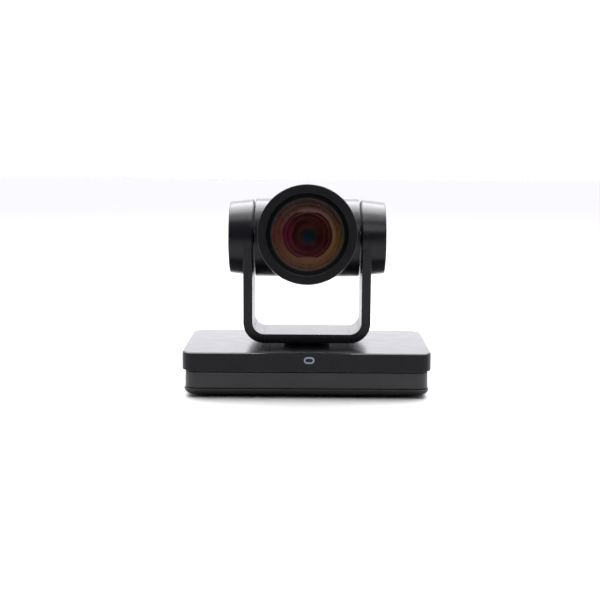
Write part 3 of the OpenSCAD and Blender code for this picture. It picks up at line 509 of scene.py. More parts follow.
cover = base_loft(fillet([(60, COVER_Z), (0.0, COVER_Z), (0.0, BASE_H - 1.0), (1.4, BASE_H), (60, BASE_H)],
                         [0, 0.4, 0.4, 0.6, 0], 5, False))
hollow = base_loft(fillet([(60, 26), (2.2, 26), (2.2, 43.5), (60, 43.5)], [0, 0, 1, 0], 3, False))
turning_hole = lathe([(0, 40), (26, 40), (26, 45.5), (26.6, 46.2), (26.6, 50), (0, 50)])
recess = box((-RECESS_X, RECESS_Y, 20), (RECESS_X, 90, 41.2))
cover = cut(cover, hollow, turning_hole, recess)
cover = add(cover, *at_corners(SCREW_X, SCREW_Y, lambda m: rod(5, 27.9, 44, m)))
cover = cut(cover, *at_corners(SCREW_X, SCREW_Y, lambda m: rod(1.5, 20, 40, m)))
cover = cut(cover, pill(MARK_HALF, MARK_R, -90, -72.3))
mark = cut(pill(MARK_HALF - MARK_GAP, MARK_R - MARK_GAP, -72.48, -72.28),
           pill(MARK_HALF - MARK_LINE, MARK_R - MARK_LINE, -90, -60))
mark_middle = pill(MARK_HALF - MARK_LINE - MARK_GAP, MARK_R - MARK_LINE - MARK_GAP, -72.48, -72.28)
piece(cover, "base_top_cover", "base", base_cover_plastic, ["base_cover"])
piece(mark, "front_mark", "base", mark_ink, ["base_cover"])
piece(mark_middle, "front_mark_middle", "base", base_cover_plastic, ["base_cover"])

band_profile = fillet([(3.2, 10), (3.2, BAND_Z), (5, BAND_Z), (5, 29.7), (7, 29.7), (7, 7), (5, 7), (5, 10)],
                      [0.35, 0.35, 0.2, 0.3, 0.3, 0.3, 0.3, 0.2], 3)
band = base_loft(band_profile, closed=True)
band = add(band, *at_corners(SCREW_X, SCREW_Y, lambda m: rod(5, 7, 27.6, m)),
           *[box((sx * 112.5 - 6, sy * SCREW_Y - 1, 10), (sx * 112.5 + 6, sy * SCREW_Y + 1, 24))
             for sx in (-1, 1) for sy in (-1, 1)])
band = cut(band, *at_corners(SCREW_X, SCREW_Y, lambda m: rod(1.7, 2, 33, m)),
           box((-RECESS_X, RECESS_Y, 0), (RECESS_X, 90, 50)))
piece(band, "base_side_band", "base", band_plastic, ["base_frame"])

dish = [(2.6, TRAY_TOP), (2.2, 8.6), (2.22, 8.0), (2.45, 7.3), (2.9, 6.4), (3.5, 5.5), (4.3, 4.6), (5.4, 3.7),
        (6.9, 2.9), (8.9, 2.25), (11.5, 1.8), (14.2, 1.6), (16, FOOT_H)]
tray = base_loft([(60, TRAY_TOP)] + dish + [(60, FOOT_H)])
tray = cut(tray, base_loft(fillet([(60, 4), (8.2, 4), (8.2, 7), (4.7, 7), (4.7, 12), (60, 12)],
                                  [0, 0.8, 0, 0, 0, 0], 3, False)))
posts = [rod(9, 3, 10), *at_corners(SCREW_X, SCREW_Y, lambda m: rod(5.5, 3, 7, m)),
         *at_corners(BRACKET_X, BRACKET_Y, lambda m: rod(4.5, 3, 9, m)),
         *[rod(3, 3, 14, Matrix.Translation((x * 86, y, 0))) for x in (-1, 1) for y in (26, 50)]]
tray = add(tray, *posts)
tray = cut(tray, rod(5, -1, 12), *at_corners(SCREW_X, SCREW_Y, lambda m: rod(1.7, -1, 9, m)),
           *at_corners(SCREW_X, SCREW_Y, lambda m: rod(3.2, -1, 4, m)),
           *at_corners(BRACKET_X, BRACKET_Y, lambda m: rod(1.65, -1, 8.5, m)))
piece(tray, "base_bottom_tray", "base", tray_plastic, ["bottom_pan"])

foot = [(0, FOOT_H), (8, FOOT_H), (8, 0.3), (7.7, 0), (6.6, 0), (6.3, 0.35), (5.6, 0.35), (5.3, 0), (4.2, 0),
        (3.9, 0.35), (3.2, 0.35), (2.9, 0), (0, 0)]
feet = gather(*at_corners(FOOT_X, FOOT_PLACE_Y, lambda m: lathe(foot, m, 64)))
piece(feet, "foot_pads", "base", rubber, ["rubber_feet"])

THREAD_R, HALF_PITCH = 2.55, 0.635
thread = [(THREAD_R + 0.5 * (i % 2), 1.9 + HALF_PITCH * i) for i in range(13)]
insert = lathe([(4.98, FOOT_H), (4.98, 10), (7, 10), (7, 11.5), (0, 11.5), (0, 10.4), (2.0, 10.3)]
               + thread[::-1] + [(3.1, FOOT_H)], steps=64)
piece(insert, "tripod_bush", "base", brass, ["tripod_insert"])

# ------------------------------------------------------------------ rear connectors

BOARD_TOP, FACE_Y, GAP = 15.6, 62.2, 0.3


def facing(x, z):
    """Frame at a connector, its own +Z out of the back and its own +Y down."""
    return Matrix.Translation((x, 0, z)) @ Matrix.Rotation(math.radians(-90), 4, "X")


def opening_shape(x, outline, grow, radius, low, high):
    """Outline of (across, height) above the board at x, grown and drawn out along Y."""
    wide = max(a for a, _ in outline)
    tall = (max(z for _, z in outline) - min(z for _, z in outline)) / 2
    centre = (max(z for _, z in outline) + min(z for _, z in outline)) / 2
    grown = [(a * (1 + grow / wide), centre + (z - centre) * (1 + grow / tall)) for a, z in outline]
    ring = fillet(grown, [radius] * len(grown), 4)
    return loft([[(x + a, y, BOARD_TOP + z) for a, z in ring] for y in (low, high)])


def oblong(width, height):
    return [(-width / 2, 0), (width / 2, 0), (width / 2, height), (-width / 2, height)]


HDMI_X, USB_X, LAN_X, DC_X, DC_Z = 19.5, 41.925, 64.35, 84.825, 21.1
SDI_X, SDI_Z, SERIAL_X, SERIAL_Z = -2.925, 23.1, (-26.325, -43.875), 22.2
AUDIO_X, AUDIO_Z, DIAL_X, DIAL_Z = (-60.45, -73.125), 20.1, -86.775, 22.6
SDI_R, SERIAL_R, AUDIO_R, DIAL_R = 4.85, 6.0, 3.4, 5.0
BODY_FRONT = 59.5
HDMI = [(-6.0, 0), (6.0, 0), (7.6, 2.1), (7.6, 6), (-7.6, 6), (-7.6, 2.1)]
USB, LAN, DC = oblong(14.6, 7.2), oblong(16, 13.6), oblong(9.4, 11)

panel = box((-PANEL_HALF, PANEL_Y, 9.3), (PANEL_HALF, PANEL_Y + 9, 41), 0.6)
holes = [opening_shape(x, shape, GAP, 0.4, 50, 66)
         for x, shape in ((HDMI_X, HDMI), (USB_X, USB), (LAN_X, LAN), (DC_X, DC))]
noses = [(SDI_X, SDI_Z, SDI_R), *[(x, SERIAL_Z, SERIAL_R) for x in SERIAL_X],
         *[(x, AUDIO_Z, AUDIO_R) for x in AUDIO_X], (DIAL_X, DIAL_Z, DIAL_R)]
holes += [rod(r + GAP, 50, 66, facing(x, z), steps=72) for x, z, r in noses]
panel = cut(panel, box((-PANEL_HALF + 1.2, PANEL_Y + 1.5, 10.5), (PANEL_HALF - 1.2, 80, 39.8), 0.8), *holes)
piece(panel, "rear_connector_panel", "base", panel_paint, ["rear_panel"])


def tongue_socket(x, outline, depth, wall, tongue, word, contacts):
    """Metal shell with a plastic tongue inside and a row of contacts on each of its faces."""
    middle = BOARD_TOP + max(z for _, z in outline) / 2
    shell = opening_shape(x, outline, 0, 0.7, FACE_Y - depth, FACE_Y)
    shell = cut(shell, opening_shape(x, outline, -wall, 0.4, FACE_Y - depth + 3, FACE_Y + 5))
    bevel(shell, 0.12, 50, 1)
    piece(shell, f"{word}_shell", "base", nickel, [f"{word}_port"])
    wide, thick = tongue
    core = box((x - wide / 2, FACE_Y - depth + 2.9, middle - thick / 2),
               (x + wide / 2, FACE_Y - 1, middle + thick / 2), 0.2)
    piece(core, f"{word}_tongue", "base", port_plastic, [f"{word}_port"])
    step = wide * 0.86 / contacts
    strips = []
    for i in range(contacts):
        at = x + (i - (contacts - 1) / 2) * step
        for side in (-1, 1):
            face = middle + side * thick / 2
            strips.append(box((at - step * 0.28, FACE_Y - depth + 4, face - 0.05),
                              (at + step * 0.28, FACE_Y - 1.6, face + 0.05)))
    piece(gather(*strips), f"{word}_contacts", "base", brass, [f"{word}_port"])


tongue_socket(HDMI_X, HDMI, 13, 0.7, (10.2, 1.2), "hdmi", 9)
tongue_socket(USB_X, USB, 16, 0.9, (11, 1.9), "usb", 4)


def lan_block(half, back, front, low, high, edge):
    """Block about the middle of the network socket: depths from its face, heights from the board."""
    return box((LAN_X - half, FACE_Y + back, BOARD_TOP + low),
               (LAN_X + half, FACE_Y + front, BOARD_TOP + high), edge)


lan_box = cut(lan_block(8, -17, 0, 0, 13.6, 0.4), lan_block(6.7, -13, 2, 0.9, 12.2, 0.3))
piece(lan_box, "network_shell", "base", nickel, ["lan_port"])
lan_core = cut(lan_block(6.65, -12.9, -0.3, 0.95, 12.15, 0.25), lan_block(5.9, -12, 1, 1.6, 8.8, 0.15),
               lan_block(3, -9, 1, 8, 11, 0.15))
piece(lan_core, "network_socket", "base", port_plastic, ["lan_port"])
wires = [box((LAN_X + (i - 3.5) * 1.02 - 0.2, FACE_Y - 11.5, BOARD_TOP + 1.55),
             (LAN_X + (i - 3.5) * 1.02 + 0.2, FACE_Y - 2.5, BOARD_TOP + 1.95)) for i in range(8)]
piece(gather(*wires), "network_contacts", "base", brass, ["lan_port"])

NOSE = PANEL_Y + 9.4
sdi_body = box((SDI_X - 7, 48, BOARD_TOP), (SDI_X + 7, BODY_FRONT, BOARD_TOP + 14.5), 0.5)
threads = [(SDI_R - 0.28 * (i % 2), 60.2 + 0.3 * i) for i in range(11)]
sdi_nose = lathe([(4.1, NOSE - 8), (4.1, NOSE - 0.3), (4.35, NOSE), (4.55, NOSE), (SDI_R, NOSE - 0.3)]
                 + threads[::-1] + [(SDI_R, 59), (0, 59), (0, NOSE - 8)], facing(SDI_X, SDI_Z), 96)
lug_at = Matrix.Translation((SDI_X, NOSE - 2, SDI_Z))
lugs = [rod(0.95, 3.9, 5.75, lug_at @ Matrix.Rotation(math.radians(90 * side), 4, "Y"), 0.25, 32)
        for side in (-1, 1)]
sdi = add(sdi_body, sdi_nose)
sdi = cut(add(sdi, *lugs), rod(4.1, NOSE - 8, NOSE + 3, facing(SDI_X, SDI_Z), steps=96))
piece(sdi, "sdi_connector", "base", bright_nickel, ["sdi_port"])
sleeve = lathe(fillet([(0.75, NOSE - 8), (2.1, NOSE - 8), (2.1, NOSE - 4), (0.75, NOSE - 4)],
                      [0, 0.1, 0.3, 0.1], 3), facing(SDI_X, SDI_Z), 64)
piece(sleeve, "sdi_insulator", "base", insulator_white, ["sdi_port"])
centre = rod(0.7, NOSE - 8.05, NOSE - 2, facing(SDI_X, SDI_Z), 0.3, 32)
piece(centre, "sdi_centre_contact", "base", brass, ["sdi_port"])

sockets = []
for x in SERIAL_X:
    place = facing(x, SERIAL_Z)
    body = add(box((x - 6.8, 48, BOARD_TOP), (x + 6.8, BODY_FRONT, BOARD_TOP + 13.2), 0.4),
               rod(SERIAL_R, 59, FACE_Y, place, 0.35, 96))
    groove = lathe([(3.9, FACE_Y - 6), (4.75, FACE_Y - 6), (4.75, FACE_Y + 2), (3.9, FACE_Y + 2)], place, 96)
    pins = [rod(0.45, FACE_Y - 5, FACE_Y + 2, place @ Matrix.Rotation(math.radians(45 * i + 22.5), 4, "Z")
                @ Matrix.Translation((2.8, 0, 0)), steps=20) for i in range(8)]
    key = box((x - 0.9, FACE_Y - 5, SERIAL_Z - 1.1), (x + 0.9, FACE_Y + 2, SERIAL_Z + 0.3), 0.1)
    sockets.append(cut(body, groove, key, *pins))
piece(gather(*sockets), "serial_sockets", "base", port_plastic, ["serial_ports"])

jacks = []
for x in AUDIO_X:
    nose = lathe([(0, 59), (AUDIO_R, 59), (AUDIO_R, FACE_Y - 0.3), (AUDIO_R - 0.3, FACE_Y), (2.15, FACE_Y),
                  (1.8, FACE_Y - 0.35), (0, FACE_Y - 0.35)], facing(x, AUDIO_Z), 72)
    body = add(box((x - 5, 46, BOARD_TOP), (x + 5, BODY_FRONT, BOARD_TOP + 9), 0.4), nose)
    jacks.append(cut(body, rod(1.8, FACE_Y - 14, FACE_Y + 2, facing(x, AUDIO_Z), steps=72)))
piece(gather(*jacks), "audio_sockets", "base", port_plastic, ["audio_jacks"])

dc = opening_shape(DC_X, DC, 0, 0.7, FACE_Y - 14, FACE_Y)
barrel = [(0, FACE_Y - 10), (3.1, FACE_Y - 10), (3.1, FACE_Y - 0.4), (3.5, FACE_Y), (3.5, FACE_Y + 2),
          (0, FACE_Y + 2)]
dc = cut(dc, lathe(barrel, facing(DC_X, DC_Z), 72))
piece(dc, "power_socket", "base", port_plastic, ["dc_jack"])
pin = rod(1.05, FACE_Y - 10.1, FACE_Y - 1.5, facing(DC_X, DC_Z), 0.4, 40)
piece(pin, "power_pin", "base", bright_nickel, ["dc_jack"])

rim = []
for i in range(120):
    dip = 0.22 if i % 5 in (0, 1) else 0.0
    rim.append((DIAL_R - dip, TAU * i / 120))
dial = loft([[((r - less) * math.cos(a), (r - less) * math.sin(a), lift) for r, a in rim]
             for lift, less in ((56, 0.3), (56.3, 0), (63.1, 0), (63.5, 0.45))], facing(DIAL_X, DIAL_Z))
dial = add(dial, rod(2, 51, 57, facing(DIAL_X, DIAL_Z), 0.2))
dial = cut(dial, box((DIAL_X - 3.7, 62.5, DIAL_Z - 0.6), (DIAL_X + 3.7, 65, DIAL_Z + 0.6), 0.1),
           box((DIAL_X - 0.6, 62.7, DIAL_Z + 2.2), (DIAL_X + 0.6, 65, DIAL_Z + 4.2), 0.1))
piece(dial, "address_dial", "selector", dial_plastic, ["selector_dial"])

# ------------------------------------------------------------------ yoke

YOKE_Z, TILT_Z = 48.8, 155.4
ARM_OUT, YOKE_T, YOKE_R, WALL = 65.2, 9.4, 21.6, 1.8
YOKE_EDGE, WALL_EDGE = 1.1, 0.4
ARM_IN = ARM_OUT - YOKE_T
BEND_X = ARM_OUT - YOKE_R
FOOT_Y, TOUCH = 32.25, (39.25, 152.7)
HOUSING_R, TAPER = 40.0, 0.115
HOUSING_RIM_R = HOUSING_R - TAPER * YOKE_T
CAP_X, CAP_BORE_R, CAP_SPIGOT_R, SEAM = 80.4, 36.5, 36.3, 0.03
SHAFT_HOLE_R, SPINDLE_HOLE_R = 13, 24.4


def half_depth(z):
    part = max(0.0, (z - YOKE_Z) / (TOUCH[1] - YOKE_Z))
    return FOOT_Y + (TOUCH[0] - FOOT_Y) * part


def yoke_ring(outer, inner, low, high, inset, edge):
    """Rounded section of the yoke between its outer and inner face, in the X-Z plane and along Y."""
    ring = []
    for quarter in range(4):
        middle = math.radians(45 + 90 * quarter)
        centre = high - edge if math.cos(middle) > 0 else low + edge
        side = 1 if math.sin(middle) > 0 else -1
        for i in range(5):
            angle = math.radians(90 * quarter + 22.5 * i)
            part = (centre + edge * math.cos(angle)) / YOKE_T
            x = outer[0] + (inner[0] - outer[0]) * part
            z = outer[1] + (inner[1] - outer[1]) * part
            ring.append((x, side * (half_depth(z) - inset - edge) + edge * math.sin(angle), z))
    return ring


def arm_stations(side, start, top):
    """Pairs of outer and inner face points from the seam, round the bend and up the arm."""
    pairs = []
    for i in range(19):
        angle = math.radians(-90 + start + (90 - start) * i / 18)
        pairs.append([(side * (BEND_X + r * math.cos(angle)), YOKE_Z + YOKE_R + r * math.sin(angle))
                      for r in (YOKE_R, YOKE_R - YOKE_T)])
    for i in range(1, 9):
        z = YOKE_Z + YOKE_R + (top - YOKE_Z - YOKE_R) * i / 8
        pairs.append([(side * ARM_OUT, z), (side * ARM_IN, z)])
    return pairs


def across(side):
    """Frame of a shape turned about the tilt axis, with its own +Z towards the given side."""
    turn = Matrix.Rotation(math.radians(90 * side), 4, "Y")
    return Matrix.Translation((0, 0, TILT_Z)) @ turn


def yoke_arm(side):
    """One arm with its round housing, hollow inside and bored for the cap and the tilt shaft."""
    arm = loft([yoke_ring(*pair, 0, YOKE_T, 0, YOKE_EDGE) for pair in arm_stations(side, 0.3, TILT_Z - 4)])
    outer = ARM_OUT + SEAM / 2
    housing = lathe(fillet([(0, ARM_IN - 0.6), (HOUSING_R - 2, ARM_IN - 0.6), (HOUSING_R - 2, ARM_IN),
                            (HOUSING_R, ARM_IN), (HOUSING_RIM_R, outer), (0, outer)],
                           [0, 0.3, 0.15, 0.9, 0.03, 0], 4), across(side), 160)
    arm = add(arm, housing)
    inner = [yoke_ring(*pair, WALL, YOKE_T - WALL, WALL, WALL_EDGE)
             for pair in arm_stations(side, -3, TILT_Z - 8)]
    return cut(arm, loft(inner),
               rod(CAP_BORE_R, ARM_IN + WALL + 0.04, ARM_OUT + 2, across(side), steps=128),
               rod(SHAFT_HOLE_R, ARM_IN - 3, ARM_OUT, across(side), steps=64))


SIDES = ((-1, "left"), (1, "right"))
for side, word in SIDES:
    piece(yoke_arm(side), f"yoke_arm_{word}", "yoke", cover_plastic, [f"{word}_arm"])


def bridge_ring(x, inset, edge):
    """Section of the bridge at x, a distance inside its outer faces."""
    return yoke_ring((x, YOKE_Z), (x, YOKE_Z + YOKE_T), inset, YOKE_T - inset, inset, edge)


bridge_x = BEND_X - 0.1
bridge = loft([bridge_ring(x, 0, YOKE_EDGE) for x in (-bridge_x, bridge_x)])
tunnel = loft([bridge_ring(x, WALL, WALL_EDGE) for x in (-60, 60)])
bridge = cut(bridge, tunnel, rod(SPINDLE_HOLE_R, 40, YOKE_Z + 3, steps=96))
piece(bridge, "yoke_bridge_cover", "yoke", cover_plastic, ["yoke_bridge"])

for side, word in SIDES:
    face_r = HOUSING_RIM_R - TAPER * (CAP_X - ARM_OUT)
    cap = lathe(fillet([(0, CAP_X - 2), (0, CAP_X), (face_r, CAP_X), (HOUSING_RIM_R, ARM_OUT + SEAM),
                        (CAP_SPIGOT_R, ARM_OUT + SEAM), (CAP_SPIGOT_R, ARM_OUT - 3),
                        (CAP_SPIGOT_R - 1.7, ARM_OUT - 3), (CAP_SPIGOT_R - 1.7, CAP_X - 2)],
                       [0, 0, 1.7, 0.03, 0.1, 0.4, 0.2, 1], 6), across(side), 160)
    piece(cap, f"tilt_cap_{word}", "yoke", cover_plastic, [f"{word}_cap"])

# ------------------------------------------------------------------ head

HEAD_TILT, LENS_RISE = 6.0, 1.6
DRUM_R, DRUM_HALF, SPLIT_Y, HEAD_WALL = 41.0, 53.5, 14.0, 2.2
HORN_R, HORN_START, HORN_END, HOOD_SEAM, HOOD_R = 39.2, 2.0, 46.0, 52.0, 51.2
HOOD_REACH, MOUTH_R, GLASS_R, RETAINER_R, CUP_FRONT = 67.0, 41.2, 35.4, 39.3, 56.0
HEAD = Matrix.Translation((0, 0, TILT_Z)) @ Matrix.Rotation(math.radians(-HEAD_TILT), 4, "X")
LENS = HEAD @ Matrix.Translation((0, 0, LENS_RISE)) @ Matrix.Rotation(math.radians(90), 4, "X")
DRUM = HEAD @ Matrix.Rotation(math.radians(90), 4, "Y")


def head_solid(inset, reach):
    """Drum and horn as one solid, a distance inside the outer faces, the horn up to a given reach."""
    radius, half = DRUM_R - inset, DRUM_HALF - inset
    edge = 0.9 if inset == 0 else 0.8
    drum = lathe(fillet([(0, -half), (radius - 0.35, -half), (radius, -half * 0.6), (radius, half * 0.6),
                         (radius - 0.35, half), (0, half)], [0, edge, 60, 60, edge, 0], 6), DRUM, 192)
    horn = lathe(fillet([(0, HORN_START), (HORN_R - inset, HORN_START), (HOOD_R - 0.5 - inset, HORN_END),
                         (HOOD_R - 0.6 - inset, reach), (0, reach)],
                        [0, 0, 14, 0.3 if inset == 0 else 0, 0], 8), LENS, 192)
    return add(drum, horn)


spigot_r = HOOD_R - 2.3
front = cut(head_solid(0, HOOD_SEAM), box((-90, SPLIT_Y, -70), (90, 90, 70), matrix=HEAD))
front = add(front, rod(spigot_r, HOOD_SEAM - 2, HOOD_SEAM + 9, LENS, steps=192))
front = cut(front, head_solid(HEAD_WALL, HOOD_SEAM - 3),
            rod(spigot_r - 1.9, HOOD_SEAM - 4, HOOD_REACH, LENS, steps=128),
            rod(6.5, -90, 90, DRUM, steps=48))
piece(front, "head_front_cover", "head", cover_plastic, ["head_front_shell"])

rear = cut(head_solid(0, HOOD_SEAM), box((-90, -120, -90), (90, SPLIT_Y + 0.2, 90), matrix=HEAD),
           head_solid(HEAD_WALL, HOOD_SEAM - 3))
piece(rear, "head_rear_cover", "head", cover_plastic, ["head_rear_shell"])

ring_skirt = HOOD_R - 2.1
RIM_R = HOOD_R - 1.0
hood = lathe(fillet([(MOUTH_R, HOOD_REACH), (RIM_R - 1.0, HOOD_REACH), (RIM_R - 0.4, HOOD_REACH - 0.5),
                     (RIM_R + 0.3, HOOD_SEAM + 0.2), (ring_skirt, HOOD_SEAM + 0.2),
                     (ring_skirt, HOOD_REACH - 3), (MOUTH_R, HOOD_REACH - 3)],
                    [0.45, 0.2, 0.3, 0.2, 0.2, 0.5, 0], 5), LENS, 224)
piece(hood, "hood_front_ring", "head", hood_plastic, ["hood_ring"])

liner_front, liner_back = HOOD_REACH - 3, CUP_FRONT + 1
(wide_r, wide_z), (narrow_r, narrow_z) = (MOUTH_R, liner_front), (GLASS_R + 1.5, liner_back)
ridges = []
ridge_count = 9
for i in range(ridge_count):
    for part, lift in ((i, 0.0), (i + 0.75, 0.22)):
        k = part / ridge_count
        ridges.append((wide_r + (narrow_r - wide_r) * k + lift, wide_z + (narrow_z - wide_z) * k))
liner = lathe(ridges + [(narrow_r, narrow_z), (GLASS_R + 3.1, liner_back), (MOUTH_R + 1.5, liner_front)],
              LENS, 192)
piece(liner, "hood_inner_cone", "head", liner_black, ["hood_liner"], sharp=20)

retainer = lathe(fillet([(GLASS_R, CUP_FRONT), (GLASS_R, CUP_FRONT + 1),
                         (RETAINER_R, CUP_FRONT + 1), (RETAINER_R, CUP_FRONT)],
                        [0.1, 0.35, 0.1, 0.1], 4), LENS, 192)
piece(retainer, "lens_retaining_ring", "head", lens_black, ["lens_retainer"])

# ------------------------------------------------------------------ lens

LENS_TURN = math.radians(90 - HEAD_TILT)
LENS_AT = LENS.translation * MM


def lens_plane(tree):
    """Across, up and radius in mm about the lens axis."""
    coords = node(tree, "ShaderNodeTexCoord")
    mapping = node(tree, "ShaderNodeMapping", vector_type="TEXTURE")
    mapping.inputs["Location"].default_value = LENS_AT
    mapping.inputs["Rotation"].default_value = (LENS_TURN, 0, 0)
    mapping.inputs["Scale"].default_value = (MM, MM, MM)
    split = node(tree, "ShaderNodeSeparateXYZ")
    tree.links.new(coords.outputs["Object"], mapping.inputs["Vector"])
    tree.links.new(mapping.outputs[0], split.inputs[0])
    x, y = split.outputs["X"], split.outputs["Y"]
    radius = calc(tree, "SQRT", calc(tree, "ADD", calc(tree, "MULTIPLY", x, x), calc(tree, "MULTIPLY", y, y)))
    return x, y, radius


def calc(tree, how, a, b=0.0):
    made = node(tree, "ShaderNodeMath", operation=how)
    for socket, value in zip(made.inputs, (a, b)):
        if isinstance(value, (int, float)):
            socket.default_value = value
        else:
            tree.links.new(value, socket)
    return made.outputs[0]


def towards(tree, plane, degrees, power):
    """1 on the side of the lens that lies at an angle, fading round to 0 on the far side."""
    x, y, radius = plane
    angle = math.radians(degrees)
    dot = calc(tree, "ADD", calc(tree, "MULTIPLY", x, math.cos(angle)),
               calc(tree, "MULTIPLY", y, math.sin(angle)))
    share = calc(tree, "MAXIMUM", calc(tree, "DIVIDE", dot, calc(tree, "MAXIMUM", radius, 0.5)), 0.0)
    return calc(tree, "POWER", share, power)


def hoop(tree, plane, radius, width, limit=1.0):
    """1 at a radius, fading to 0 a width away on either side."""
    gap = calc(tree, "ABSOLUTE", calc(tree, "SUBTRACT", plane[2], radius))
    share = calc(tree, "MAXIMUM", calc(tree, "SUBTRACT", 1.0, calc(tree, "DIVIDE", gap, width)), 0.0)
    return calc(tree, "MULTIPLY", calc(tree, "SMOOTH_MIN", share, 1.0), limit)


def spot(tree, plane, x, y, width):
    """1 over the middle of a spot, fading to 0 a width away from its centre."""
    dx, dy = calc(tree, "SUBTRACT", plane[0], x), calc(tree, "SUBTRACT", plane[1], y)
    gap = calc(tree, "SQRT", calc(tree, "ADD", calc(tree, "MULTIPLY", dx, dx),
                                  calc(tree, "MULTIPLY", dy, dy)))
    share = calc(tree, "SUBTRACT", 1.5, calc(tree, "DIVIDE", gap, width / 1.5))
    return calc(tree, "MINIMUM", calc(tree, "MAXIMUM", share, 0.0), 1.0)


def layer(tree, below, colour, amount):
    made = node(tree, "ShaderNodeMix", data_type="RGBA")
    if isinstance(below, tuple):
        made.inputs["A"].default_value = (*below, 1)
    else:
        tree.links.new(below, made.inputs["A"])
    made.inputs["B"].default_value = (*colour, 1)
    tree.links.new(amount, made.inputs["Factor"])
    return made.outputs["Result"]


def coated(name, ground, layers, gain, rough=0.3, ior=1.3):
    """Dark coated or blacked lens part whose colour carries painted reflections: soft coloured reflections
    and painted shade, given 0 to 255, laid over a painted ground tone.
    """
    def tone(*shown):
        return tuple(gain * ((c / 255 + 0.055) / 1.055) ** 2.4 for c in shown)

    made, tree, surface = shader(name)
    plane = lens_plane(tree)
    colour = tone(*ground)
    for shade, amounts in layers:
        factor = None
        for make, *values in amounts:
            share = make(tree, plane, *values)
            factor = share if factor is None else calc(tree, "MULTIPLY", factor, share)
        colour = layer(tree, colour, tone(*shade), factor)
    # The base colour here is painted reflections and painted shade, fixed on the part, not its own tint.
    tree.links.new(colour, surface.inputs["Base Color"])
    tree.links.new(spread(tree, noise(tree, 4), rough - 0.05, rough + 0.05), surface.inputs["Roughness"])
    surface.inputs["IOR"].default_value = ior
    bump(tree, surface, noise(tree, 0.6), 0.05, 0.004)
    return made


# Painted reflections on the baffle: coloured reflection tints by side, a painted lighter bottom where less
# light reaches it, and light and dark painted rings.
baffle_reflection_paint = coated("baffle_painted_reflections", (66, 44, 34), [
    ((62, 30, 26), [(towards, 180, 1.2)]),
    ((74, 54, 16), [(towards, -28, 2.2)]),
    ((44, 30, 29), [(towards, 90, 1.5)]),
    ((84, 58, 42), [(towards, -95, 1.3)]),
    ((84, 64, 62), [(towards, 85, 2.0), (hoop, 25.0, 3.6, 0.95)]),
    ((84, 64, 54), [(towards, 20, 2.0), (hoop, 27.0, 2.8, 0.9)]),
    ((96, 70, 56), [(hoop, 31.6, 0.6, 0.5)]),
    ((24, 14, 10), [(hoop, 30.4, 0.5, 0.5)]),
    ((24, 14, 10), [(hoop, 33.4, 0.5, 0.5)]),
], 2.0)
# Painted reflections in the zoom cell: tinted sides and light and dark painted rings over a dark red painted
# ground.
cell_reflection_paint = coated("zoom_cell_painted_reflections", (38, 10, 9), [
    ((66, 12, 34), [(towards, 190, 2.2)]),
    ((42, 9, 6), [(towards, 30, 2.0)]),
    ((56, 16, 24), [(towards, -95, 1.5)]),
    ((96, 40, 50), [(hoop, 22.5, 0.5, 0.8)]),
    ((84, 36, 40), [(hoop, 17.5, 0.45, 0.7)]),
    ((20, 5, 6), [(hoop, 20.0, 1.2, 0.6)]),
], 1.75, 0.4, 1.15)
# Painted reflections on the zoom glass: tinted sides, a lighter painted ring and a blue-green painted
# reflection spot near the middle.
core_reflection_paint = coated("zoom_glass_painted_reflections", (31, 9, 9), [
    ((30, 7, 4), [(towards, 20, 2.0)]),
    ((46, 12, 20), [(towards, -100, 2.0)]),
    ((38, 20, 18), [(hoop, 8.5, 3.5, 0.9)]),
    ((6, 19, 26), [(spot, 1.4, -2.2, 10.5)]),
    ((3, 20, 27), [(spot, 1.4, -2.2, 7.5)]),
], 2.3, 0.35, 1.1)


def clear_glass(name, tint, mirror):
    """Clear coated glass: what is behind shows through, with a weak tinted reflection."""
    made = bpy.data.materials.new(name)
    tree = nodes_of(made)
    out = node(tree, "ShaderNodeOutputMaterial")
    through = node(tree, "ShaderNodeBsdfTransparent")
    through.inputs["Color"].default_value = (0.97, 0.96, 0.95, 1)
    shine = node(tree, "ShaderNodeBsdfPrincipled")
    shine.inputs["Metallic"].default_value = 1.0
    tree.links.new(blend_colours(tree, spread(tree, noise(tree, 22), 0, 1), tint,
                                 [min(1, c * 1.12) for c in tint]), shine.inputs["Base Color"])
    tree.links.new(spread(tree, noise(tree, 6), 0.03, 0.06), shine.inputs["Roughness"])
    facing = node(tree, "ShaderNodeFresnel")
    facing.inputs["IOR"].default_value = mirror
    mixed = node(tree, "ShaderNodeMixShader")
    tree.links.new(facing.outputs[0], mixed.inputs[0])
    tree.links.new(through.outputs[0], mixed.inputs[1])
    tree.links.new(shine.outputs[0], mixed.inputs[2])
    tree.links.new(mixed.outputs[0], out.inputs["Surface"])
    return made


front_glass = clear_glass("front_glass", (0.3, 0.6, 1.0), 1.06)
second_glass = clear_glass("second_glass", (0.5, 0.5, 0.7), 1.06)


def dome(radius, back, edge, rise, hollow=0.0):
    """Lens with a convex front, its edge chamfered, and a back that is flat or a little hollow."""
    curve = (radius * radius + rise * rise) / (2 * rise)
    arc = []
    for i in range(25):
        r = radius * i / 24
        arc.append((r, edge + rise - curve + math.sqrt(curve * curve - r * r)))
    inside = [(radius * 0.94 * i / 12, back + hollow * (1 - (i / 12) ** 2)) for i in range(13)]
    return lathe(inside + [(radius - 0.3, back), (radius, back + 0.3)] + arc[::-1], LENS, 160)


for name, glass, shape in (("front_element", front_glass, (36.3, 50, 55.7, 4, 1.6)),
                           ("second_element", second_glass, (33.3, 43.6, 46, 2.5, 0.8))):
    piece(dome(*shape), name, "head", glass, ["front_lens"], 25)

